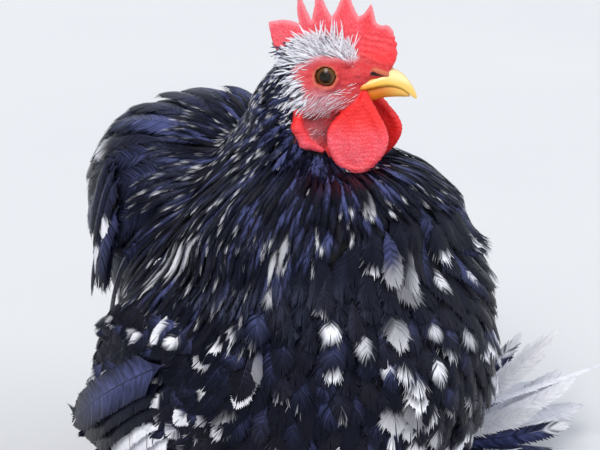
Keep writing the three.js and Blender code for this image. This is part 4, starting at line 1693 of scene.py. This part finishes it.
def region_feathers(region, spots, normals, rng):
    """The feathers of one region, as the values that build() takes."""
    plan = REGIONS[region]
    n = len(spots)
    x, y, z = spots.T
    _, forward, up = to_head(spots).T
    length, width = measures(region, spots)
    length = length * rng.uniform(0.82, 1.18, n)
    if region == TAIL_AT:
        length = length * lerp(1, 0.42, smoothstep(78, 110, y))
    width = width * rng.uniform(0.85, 1.15, n)
    path, ups = trace(spots, normals, length, plan.kind.stations, rng.normal(0, 0.1, n))
    if region == WING_AT:
        path = lerp(path, straightened(path), 0.55)
    tip = path[:, -1]
    coat = np.linalg.norm(skin_shape.nearest(spots)[0] - spots, axis=1)
    depth = np.minimum(plan.depth, coat + 0.5)
    # How likely a white mark is, and what it looks like.
    chance = plan.white_share * (0.35 + 1.3 * (0.5 + 0.5 * value_noise(spots, 26, 41)))
    shapes = mark_shapes(region, n, last_barb(plan.kind, width, length), rng)
    if region == NECK_AT:
        high, behind = smoothstep(165, 206, z), smoothstep(12, -30, forward)
        chance = chance * lerp(0.8, lerp(1.4, 3.4, high), behind)
    if region in (BODY_AT, BELLY_AT):
        # More white down the middle of the breast.
        bands = np.exp(-(((z - 142) / 20) ** 2)) + np.exp(-(((z - 90) / 12) ** 2))
        streak = np.exp(-(((x + 14) / 17) ** 2)) * (normals[:, 1] < -0.3) * bands
        chance = chance + 0.36 * streak
        shapes[0] -= 0.06 * streak
    downy = np.clip(rng.normal(0.6 if region == BELLY_AT else 0.1, 0.2, n), 0, 1)
    if region in PATCHED:
        patched, chance, shapes = white_patches(tip, chance, shapes, rng)
    if region == TAIL_AT:
        rim = smoothstep(30, 55, np.abs(x))
        chance = chance + 0.34 * smoothstep(70, 95, y) + 0.3 * rim
    amount = rng.random(n) < chance
    greyer = rng.random(n) < 0.3
    amount = amount * np.where(greyer, rng.uniform(0.4, 0.7, n), rng.uniform(0.8, 1, n))
    lift = rng.uniform(-0.5, 1.0, n) * width * 0.16
    if region in PATCHED:
        amount = np.where(patched, amount * rng.uniform(0.35, 0.85, n), amount)
    if region == TAIL_AT:
        # At the sides of the tail some tips stand out.
        lift = lift + 7 * rim * rng.random(n) ** 2
    if region in (BODY_AT, BELLY_AT, WING_AT):
        lift = lift + 2.2 * (amount > 0)
    # Short feathers at the edge of the bare face start right at the surface.
    if region == NAPE_AT:
        depth = depth * 0.4
    if region == NECK_AT:
        depth = depth * lerp(0.2, 1, smoothstep(-36, -60, up))
    if region == BODY_AT:
        # Looser feathers at the side of the breast, below the end of the hackle.
        loose = smoothstep(8, 30, tip[:, 0]) * np.exp(-(((tip[:, 2] - 150) / 17) ** 2))
        lift = lift + 8 * loose * (tip[:, 1] < -35) * rng.uniform(0.5, 1, n)
        depth = depth * lerp(1, 0.4, smoothstep(148, 182, z))
    path = sunk(path, ups, depth, plan.rise, lift)
    # Painted sheen: some feathers are painted as lit and bluer, the rest darker.
    lit = rng.random(n) < 0.34 + 0.3 * value_noise(spots, 30, 43)
    sheen_paint = np.where(lit, rng.uniform(0.45, 1.0, n), rng.uniform(0.06, 0.3, n))
    # The painted sheen is strongest on the neck and tail, least on the breast.
    sheen_paint = sheen_paint * (0.7 if region in (BODY_AT, BELLY_AT) else 1) + (0.12 if region == TAIL_AT else 0)
    return path, ups, width, np.stack([amount, *shapes], axis=1), sheen_paint, downy


def make_coat():
    """Grows the coat, in pieces small enough for the library."""
    rng = np.random.default_rng(SEED)
    sites = coat_sites(rng)
    grown = {region: region_feathers(region, *site, rng) for region, site in sites.items()}
    rng = np.random.default_rng(SEED + 1)
    for region, feathers in grown.items():
        plan = REGIONS[region]
        roots = feathers[0][:, 0]
        parts = math.ceil(plan.kind.triangles() * len(roots) / MOST_TRIANGLES)
        order = np.argsort(np.arctan2(roots[:, 0], -(roots[:, 1] - HEAD[1] / 2)))
        for i, chunk in enumerate(np.array_split(order, parts)):
            flock = Flock(plan.name if parts == 1 else f"{plan.name}_{i + 1}")
            cells = map_places(roots[chunk])
            build(flock, plan.kind, *(values[chunk] for values in feathers), rng, cells, warp=0.05)
            slot = "flight_feather" if region == WING_AT else "black_plumage"
            flock.make(SOFT if region in (BODY_AT, BELLY_AT) else SLEEK, slot)


make_coat()


# ---- Free feathers: tail, flight feathers and feet ----


def row(start, through, finish, face, width, white, sheen_paint, downy, flip=1):
    """One free feather: a bend from start to finish, the way it faces, and its marks."""
    places = dict(start=start * flip, through=through * flip, finish=finish * flip, face=face * flip)
    return dict(places, width=width, white=(*white, 0, 0, 0), sheen_paint=sheen_paint, downy=downy)


def free_feathers(name, kind, rows, material, slot, nodes=(), seed=0, warp=0.06):
    """One piece of feathers, one for each row."""
    rng = np.random.default_rng(SEED + seed)
    column = {key: np.array([row[key] for row in rows], float) for key in rows[0]}
    t = np.linspace(0, 1, kind.stations)[None, :, None]
    a, b, c = (column[key][:, None] for key in ("start", "through", "finish"))
    path = (1 - t) ** 2 * a + 2 * t * (1 - t) * b + t * t * c
    face = np.repeat(column["face"][:, None], kind.stations, axis=1)
    values = (column[key] for key in ("width", "white", "sheen_paint", "downy"))
    flock = Flock(name)
    build(flock, kind, path, face, *values, rng, map_places(path[:, 0]), warp)
    flock.make(material, slot, *nodes)


NO_WHITE = (0, 1, 0)


def tail_rows():
    """Soft sickles at the rear, curling down over the cushion of the tail."""
    rng = np.random.default_rng(SEED + 50)
    _, high = box("tail")
    count = 34
    rows = []
    for i in range(count):
        spread = 2 * (i + 0.5) / count - 1 + rng.normal(0, 0.05)
        layer = rng.random()
        lean = math.cos(spread * 1.2)
        start = vec(16 * spread, high[1] - 88 + 26 * layer, high[2] - 36 + 4 * layer)
        crest = high[2] - 52 + 58 * lean * lerp(0.8, 1, layer)
        top = vec(28 * spread, lerp(high[1] - 44, high[1] - 26, layer), crest)
        across = 19 * spread + rng.normal(0, 3)
        back = high[1] + 1 - 16 * spread**2 - rng.uniform(0, 8)
        level = high[2] - lerp(56, 96, layer) + 22 * abs(spread) + rng.normal(0, 4)
        face = unit(vec(0.9 * spread, 0.45, 0.9))
        white = (1, rng.uniform(0.86, 0.94), 0.04) if rng.random() < 0.34 else NO_WHITE
        sheen_paint = np.clip(rng.normal(0.5, 0.2), 0.1, 1)
        end = vec(across, back, level)
        rows.append(row(start, top, end, face, rng.uniform(6.5, 9), white, sheen_paint, 0.05))
    return rows


def rim_rows():
    """Narrow feathers that hang free along both edges of the tail, many with white ends."""
    rng = np.random.default_rng(SEED + 60)
    count = 16
    rows = []
    for sign in (1, -1):
        for i in range(count):
            f = (i + rng.uniform(0.1, 0.9)) / count
            guess = vec(sign * 80, lerp(66, 46, f) + rng.uniform(-8, 8), lerp(206, 128, f))
            spot, normal, _ = outline.nearest(guess[None])
            out = unit(normal[0] * (1, 1, 0.2) + 1e-6)
            low_down = smoothstep(0, 0.4, f)
            start = spot[0] - 4 * normal[0] + vec(0, -4, lerp(-3, 14, low_down))
            through = start + lerp(3, 7, low_down) * out + vec(0, lerp(10, 6, low_down), -14)
            reach = rng.uniform(7, 12) * lerp(0.4, 1, low_down)
            finish = start + reach * out + vec(0, rng.uniform(0, 8), -rng.uniform(34, 46))
            marked = rng.random() < 0.4
            white = (rng.uniform(0.8, 1), rng.uniform(0.6, 0.85), 0.05) if marked else NO_WHITE
            sheen_paint = rng.uniform(0.1, 0.5)
            rows.append(row(start, through, finish, out, rng.uniform(2.6, 5.5), white, sheen_paint, 0.1))
    return rows


def flight_rows(sign):
    """Flight feathers of the closed wing, each upper one lying over the next below."""
    low, high = box("wing_L")
    flip = vec(sign, 1, 1)
    count = 6
    rows = []
    for i in range(count):
        f = 1 - i / (count - 1)  # 1 for the lowest, 0 for the highest
        out = high[0] - 4 * f + 1.5 * i
        start = vec(out - 7, lerp(-30, -24, f), lerp(112, 78, f))
        end = vec(out - 8, lerp(high[1] - 11, 18, f), lerp(low[2] + 19, low[2] - 2, f))
        through = (start + end) / 2 + vec(12, 2, 5)
        white = (1, 0.02, 0) if f > 0.5 else NO_WHITE
        # The highest flight feather gets the most painted sheen.
        sheen_paint = 0.62 if i == count - 1 else 0.25
        rows.append(row(start, through, end, vec(1, 0.1, 0.22), 10 - 1.4 * f, white, sheen_paint, 0.0, flip))
    return rows


def foot_rows(sign):
    """Long vanes that stand out from the outer toes, curling upwards at their ends."""
    rng = np.random.default_rng(SEED + (70 if sign > 0 else 71))
    low, high = box("foot_feathers_L")
    flip = vec(sign, 1, 1)
    root = vec(low[0] + 18, ANKLE[1] - 14, 20)
    far = high[0] - root[0]
    count = 26
    rows = []
    for i in range(count):
        f = (i + rng.uniform(0.2, 0.8)) / count
        azimuth = math.radians(lerp(34, -60, f))
        up = (i * 0.382 + 0.1) % 1
        arch = 1 - (2 * f - 1.0) ** 2
        reach = far * lerp(1.12, 0.9, up) * (0.7 + 0.36 * arch) * rng.uniform(0.88, 1.05)
        ahead = vec(math.cos(azimuth), math.sin(azimuth), 0)
        start = root + ahead * rng.uniform(-6, 10) + vec(0, 0, rng.uniform(-8, 6))
        peak = math.exp(-(((azimuth + 0.44) / 0.6) ** 2))
        end = root + ahead * reach
        end[0] = min(end[0], high[0] + 6)
        end[2] = max(lerp(7, high[2] - 6, up * peak), 5)
        through = lerp(start, end, 0.62)
        through[2] = lerp(start[2], end[2], 0.1)
        across = unit(np.cross(end - start, vec(0, 0, 1)))
        face = vec(0, 0, 1) + across * rng.normal(0, 0.5) - ahead * 0.5
        kind = rng.random()
        white = (1, 0.0, 0.0) if kind < 0.5 else (0.9, 0.42, -0.3) if kind < 0.7 else (0.9, 0.75, 0.1)
        rows.append(row(start, through, end, face, rng.uniform(5.5, 8.2), white, 0.8, 0.0, flip))
    # One long white vane in front.
    start, through = root + vec(10, -8, 4), root + vec(60, -34, 18)
    end = vec(high[0] - 6, low[1] + 6, high[2] - 34)
    rows.append(row(start, through, end, vec(-0.2, 0.3, 1), 4.2, (1, -0.5, 0), 0.8, 0, flip))
    return rows


def boot_rows(sign):
    """Short soft feathers round the shank and over the toes."""
    rng = np.random.default_rng(SEED + 80)
    flip = vec(sign, 1, 1)
    rows = []
    for _ in range(110):
        azimuth = rng.uniform(0, 2 * np.pi)
        ahead = vec(math.cos(azimuth), math.sin(azimuth), 0)
        z = rng.uniform(9, 34)
        start = vec(ANKLE[0], ANKLE[1], z) + 4 * ahead
        reach = rng.uniform(16, 34) * (1.25 if math.cos(azimuth) > -0.2 else 0.8)
        end = start + ahead * reach
        end[2] = max(4.5, z - rng.uniform(8, 22))
        through = lerp(start, end, 0.5) + vec(0, 0, 5)
        kind = rng.random()
        white = (1, 0.1, 0) if kind < 0.4 else (0.9, 0.75, 0.05) if kind < 0.6 else NO_WHITE
        face = vec(0, 0, 1) + 0.6 * ahead
        rows.append(row(start, through, end, face, rng.uniform(4, 6.4), white, 0.5, 0.5, flip))
    return rows


free_feathers("tail_sickles", SICKLE, tail_rows(), SLEEK, "black_plumage", seed=3, warp=0.1)
free_feathers("tail_rim", SICKLE, rim_rows(), SLEEK, "black_plumage", seed=7, warp=0.1)
for side, sign in SIDES:
    node = f"foot_feathers_{side}"
    free_feathers(f"flight_{side}", FLIGHT, flight_rows(sign), QUILL, "flight_feather", seed=4)
    free_feathers(f"foot_vanes_{side}", FOOT, foot_rows(sign), SOFT, "white_plumage", (node,), seed=5)
    free_feathers(f"boot_{side}", FLUFF, boot_rows(sign), SOFT, "white_plumage", (node,), seed=6)


# ---- Hairs, tufts and collar round the face ----


def skin_round_head(tries, seed, reach):
    """Random places on the skin near the head, and the generator for what grows there."""
    rng = np.random.default_rng(SEED + seed)
    centre = skin_shape.points[skin_shape.faces].mean(axis=1)
    closest = np.nonzero(near_head(centre, reach))[0]
    spots, normals, _ = skin_shape.scatter(tries, rng, closest)
    return rng, spots, normals, to_head(spots)


def face_hairs():
    """Fine white hairs of the crown, ears and cheeks."""
    rng, spots, normals, local = skin_round_head(tries=170_000, seed=90, reach=42)
    left, forward, up = local.T
    crown = crown_share(forward, up)
    ear = np.clip(1.2 * bump(forward, up, -14, -9.5, 5.6, 7.4), 0, 1)
    cheek = np.clip(1.1 * bump(forward, up, -3, -13, 10, 4.6), 0, 1)
    nape = smoothstep(-11, -15, forward) * smoothstep(-30, -20, up)
    throat = 0.05 * bump(forward, up, -6, -26, 6, 8)
    front = 0.024 * bump(forward, up, 13, -6, 7, 5)
    want = np.maximum.reduce([0.6 * crown, 0.6 * ear, cheek, 0.3 * nape, throat, front])
    want = want * (1 - comb_share(local)) * (1 - wattle_share(local))
    want = want * (from_pupil(forward, up) > 8.6) * (np.abs(left) > 2)
    pick = np.nonzero(want**1.5 > rng.random(len(want)))[0]
    gap = np.where((crown[pick] > 0.4) | (ear[pick] > 0.4), 0.8, 1.15)
    pick = pick[spaced(spots[pick], gap)]
    count = len(pick)
    spots, normals, forward = spots[pick], normals[pick], forward[pick]
    crown, ear, cheek, nape = crown[pick], ear[pick], cheek[pick], nape[pick]
    # Some of the crown's hairs are long plumes that stand up.
    tall = (crown > 0.6) & (rng.random(count) < 0.05) & (forward > -9)
    tilt = 0.9 * crown * (0.4 + smoothstep(-14, 4, forward)) - 0.55 * cheek - 0.25 * nape - 0.5 * ear - 0.2
    lie = -FORWARD * (1 - 1.3 * smoothstep(0, 9, forward) * crown)[:, None] + vec(0, 0, 1) * tilt[:, None]
    lie = unit(square_to(lie + 0.18 * rng.standard_normal((count, 3)), normals))
    length = 2.8 + 4.2 * crown + 2.6 * ear + 2.0 * nape + 2.0 * cheek
    length = length * rng.uniform(0.7, 1.35, count) + 3.4 * tall
    stand = 0.35 + 0.25 * rng.random(count) + 0.25 * crown + 0.3 * tall
    wide = (0.11 + 0.09 * crown + 0.06 * ear + 0.2 * nape) * rng.uniform(0.8, 1.25, count)
    # Each hair is a narrow leaf: three pairs of points and a tip.
    steps = np.array([0.0, 0.4, 0.75])
    bow = 0.2 + stand[:, None] * np.sqrt(steps) * length[:, None] * 0.6
    spine = spots[:, None] - 0.2 * normals[:, None] + lie[:, None] * (steps * length[:, None])[..., None]
    spine = spine + normals[:, None] * bow[..., None]
    half = np.cross(lie, normals)[:, None] * (wide[:, None] * np.array([0.6, 1.0, 0.8]))[..., None]
    rail = np.stack([spine - half, spine + half], axis=2)
    tip = spots + lie * length[:, None] + normals * (stand * length * 0.5)[:, None]
    ids = numbered(rail)
    tris = np.stack([ids[:, -1, 0], ids.size + np.arange(count), ids[:, -1, 1]], axis=-1)
    snow = (rng.random(count) < 0.98 - 0.5 * nape) * rng.uniform(0.75, 1, count)
    # Its middle value is the painted sheen.
    mark = flat(snow, rng.uniform(0.4, 0.8, count), 0.0)
    mark = np.concatenate([np.repeat(mark, 6, axis=0), mark])
    streaks = np.concatenate([np.repeat(rng.random(count) * 90, 6), rng.random(count) * 90])
    cell = skin_face_uv[skin_shape.nearest(spots)[2]]
    corner = np.array([(across, along) for along in (0, 0.4, 0.75) for across in (0, 1)]) * PATCH * 0.5
    uv = np.concatenate([(cell[:, None] + corner).reshape(-1, 2), cell + (PATCH * 0.25, PATCH * 0.5)])
    flock = Flock("face_bristles")
    points = np.concatenate([rail.reshape(-1, 3), tip])
    flock.put(points, grid_quads(ids), tris, flat(0.0, 0.0, streaks), mark, np.clip(uv, 0.001, 0.999))
    flock.make(SOFT, "white_plumage")


def head_tufts():
    """The white crown and its standing plumes, and the grey tuft over the ear."""
    rng, spots, normals, local = skin_round_head(tries=90_000, seed=95, reach=34)
    left, forward, up = local.T
    crown = crown_share(forward, up)
    ear_ring = np.hypot((forward + 13.8) / 6, (up + 9.8) / 7.6)
    ear = smoothstep(1.15, 0.8, ear_ring) * (ear_ring > 0.3)
    free = (comb_share(local) < 0.2) & (wattle_share(local) < 0.2) & (np.abs(left) > 3)
    free &= from_pupil(forward, up) > 8.4
    pick = np.nonzero(free & (np.maximum(crown, ear) > 0.36))[0]
    pick = pick[spaced(spots[pick], np.full(len(pick), 0.95))]
    spots, normals, forward = spots[pick], normals[pick], forward[pick]
    on_crown = crown[pick] > ear[pick]
    n = len(pick)
    tall = on_crown & (rng.random(n) < np.where(np.abs(forward) < 5, 0.16, 0.08)) & (forward > -7)
    rise = np.where(on_crown, 0.25 + 0.35 * smoothstep(-8, 6, forward), -0.6)
    lie = -FORWARD + vec(0, 0, 1) * rise[:, None] + 0.3 * rng.standard_normal((n, 3))
    stood = vec(0, 0, 1) - 0.5 * FORWARD * rng.uniform(-0.6, 1.4, n)[:, None]
    laid = unit(lie - 0.9 * (lie * normals).sum(-1, keepdims=True) * normals)
    lie = np.where(tall[:, None], unit(stood), laid)
    length = np.select([tall, on_crown], [rng.uniform(9.5, 13.5, n), rng.uniform(5, 9.5, n)], 5.6)
    width = np.select([tall, on_crown], [0.4, 0.5], 0.6) * rng.uniform(0.8, 1.25, n)
    stand = length * np.select([tall, on_crown], [0.14, 0.3], 0.34) * rng.uniform(0.5, 1.5, n)
    dark = rng.random(n) < np.where(on_crown, 0.03 + 0.3 * smoothstep(-8, -14, forward), 0.2)
    amount = np.where(dark & ~tall, 0.12, rng.uniform(0.88, 1, n))
    t = np.linspace(0, 1, NAPE.stations)[None, :, None]
    path = spots[:, None] + lie[:, None] * length[:, None, None] * t
    path = path + normals[:, None] * (stand[:, None, None] * t**0.8 - 0.4)
    face = np.repeat(normals[:, None], NAPE.stations, axis=1)
    white = np.zeros((n, 6))
    white[:, 0], white[:, 1] = amount, -0.4
    sheen_paint = np.where(rng.random(n) < 0.3, 0.7, 0.3)
    flock = Flock("head_tufts")
    build(flock, NAPE, path, face, width, white, sheen_paint, np.zeros(n), rng, map_places(spots))
    flock.make(SOFT, "white_plumage")


def collar():
    """Short feathers where the coat begins behind the lobes and under the wattles."""
    rng, spots, normals, local = skin_round_head(tries=40_000, seed=97, reach=60)
    up = local[:, 2]
    hanging = np.maximum(wattle_share(local), comb_share(local))
    pick = np.nonzero((feathered(spots) > 0.2) & (hanging < 0.8) & (up > -56) & (up < 6))[0]
    pick = pick[spaced(spots[pick], lerp(1.45, 2.1, smoothstep(-42, -52, up[pick])))]
    spots, normals, up = spots[pick], normals[pick], up[pick]
    n = len(pick)
    low = smoothstep(-20, -46, up)
    length = lerp(8, 20, low) * rng.uniform(0.8, 1.2, n)
    width = lerp(1.2, 1.9, low) * rng.uniform(0.85, 1.15, n)
    stand = lerp(1.2, 3.4, smoothstep(-18, -46, up)) * rng.uniform(0.8, 1.2, n)
    path, ups = trace(spots, normals, length, COLLAR.stations, rng.normal(0, 0.16, n), skin_shape)
    # The root ends lie a little way back, under the lobes and wattles.
    path[:, 0] -= 2.2 * unit(path[:, 1] - path[:, 0])
    t = np.linspace(0, 1, COLLAR.stations)[None]
    path = path + ups * (stand[:, None] * t**0.8 - 0.3)[..., None]
    # Thin leaning marks, fewer under the wattles.
    white = np.zeros((n, 6))
    marked = rng.random(n) < lerp(0.55, 0.12, smoothstep(-28, -38, up))
    white[:, 0] = marked * rng.uniform(0.75, 1, n)
    white[:, 2] = rng.uniform(0.05, 0.25, n)
    white[:, 1] = rng.uniform(0.55, 0.75, n)
    white[:, 4] = rng.normal(0, 1, n)
    sheen_paint = np.where(rng.random(n) < 0.35, 0.65, 0.25)
    flock = Flock("collar")
    build(flock, COLLAR, path, ups, width, white, sheen_paint, np.zeros(n), rng, map_places(spots))
    flock.make(MATT, "black_plumage")


face_hairs()
head_tufts()
collar()

# ---- Camera, light and floor ----

VIEW_AZIMUTH, VIEW_PITCH = math.radians(-42), math.radians(20)
VIEW_DISTANCE = 800
AIM_RIGHT, AIM_ABOVE = -14.7, -71.6  # the picture's middle, from the head's
SENSOR, LENS = 36, 106.667
# Name, way towards it, spread in degrees, strength and colour.
SUNS = (
    ("key", vec(-1.2, -0.55, 1.5), 28, 2.3, (1.0, 0.98, 0.95)),
    ("fill", vec(1.2, -1.3, 0.9), 60, 1.2, (0.93, 0.96, 1.0)),
    ("front", vec(-0.9, -1.2, 0.5), 40, 0.3, (1.0, 1.0, 1.0)),
    ("back", vec(0.5, 1.4, 1.1), 50, 0.28, (0.95, 0.97, 1.0)),
)
SKY, SKY_STRENGTH = (0.80, 0.86, 1.0, 1), 0.45
BACKGROUND, BACKGROUND_STRENGTH = (0.93, 0.94, 0.95, 1), 1.0
FLOOR_HALF = 6000
FLOOR_GREY = ((0.70, 0.71, 0.72), (0.76, 0.76, 0.76))


def aimed(name, data, place, way):
    """An object of the scene at a place, looking along a way."""
    thing = bpy.data.objects.new(name, data)
    bpy.context.scene.collection.objects.link(thing)
    thing.location = place.tolist()
    thing.rotation_mode = "QUATERNION"
    thing.rotation_quaternion = Vector(way.tolist()).to_track_quat("-Z", "Y")
    return thing


def make_camera():
    right = vec(math.cos(VIEW_AZIMUTH), math.sin(VIEW_AZIMUTH), 0)
    level = vec(-math.sin(VIEW_AZIMUTH), math.cos(VIEW_AZIMUTH), 0)
    look = level * math.cos(VIEW_PITCH) - vec(0, 0, math.sin(VIEW_PITCH))
    above = np.cross(right, look)
    data = bpy.data.cameras.new("view")
    data.sensor_width, data.lens = SENSOR, LENS
    data.clip_start, data.clip_end = 0.05, 20
    spot = HEAD + AIM_RIGHT * right + AIM_ABOVE * above - VIEW_DISTANCE * look
    bpy.context.scene.camera = aimed("view", data, spot * MM, look)


def make_suns():
    centre = (TRUNK_LOW + TRUNK_HIGH) / 2 * MM
    for name, place, spread, strength, colour in SUNS:
        light = bpy.data.lights.new(name, "SUN")
        light.angle, light.energy, light.color = math.radians(spread), strength, colour
        aimed(name, light, centre + place, -place)


def make_world():
    """A pale background for the camera and a dimmer, bluer sky for the light."""
    world = bpy.data.worlds.new("studio")
    bpy.context.scene.world = world
    world.use_nodes = True
    tree = world.node_tree
    tree.nodes.clear()
    kinds = ("OutputWorld", "MixShader", "LightPath", "Background", "Background")
    out, mix, path, sky, back = (tree.nodes.new("ShaderNode" + kind) for kind in kinds)
    sky.inputs["Color"].default_value = SKY
    sky.inputs["Strength"].default_value = SKY_STRENGTH
    back.inputs["Color"].default_value = BACKGROUND
    back.inputs["Strength"].default_value = BACKGROUND_STRENGTH
    tree.links.new(path.outputs["Is Camera Ray"], mix.inputs["Fac"])
    tree.links.new(sky.outputs[0], mix.inputs[1])
    tree.links.new(back.outputs[0], mix.inputs[2])
    tree.links.new(mix.outputs[0], out.inputs["Surface"])


def make_floor():
    corners = np.array([(-1, -1, 0), (1, -1, 0), (1, 1, 0), (-1, 1, 0)], float) * FLOOR_HALF
    floor = make_object("floor", corners, np.array([[0, 1, 2, 3]]))
    n = Nodes("pale_floor")
    pale = n.mix(n.noise(3.0, 2.0), *FLOOR_GREY)
    floor.data.materials.append(n.finish(Base_Color=pale, Roughness=0.85))
    floor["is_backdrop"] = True


make_camera()
make_suns()
make_world()
make_floor()
bpy.context.scene.view_settings.view_transform = "Standard"
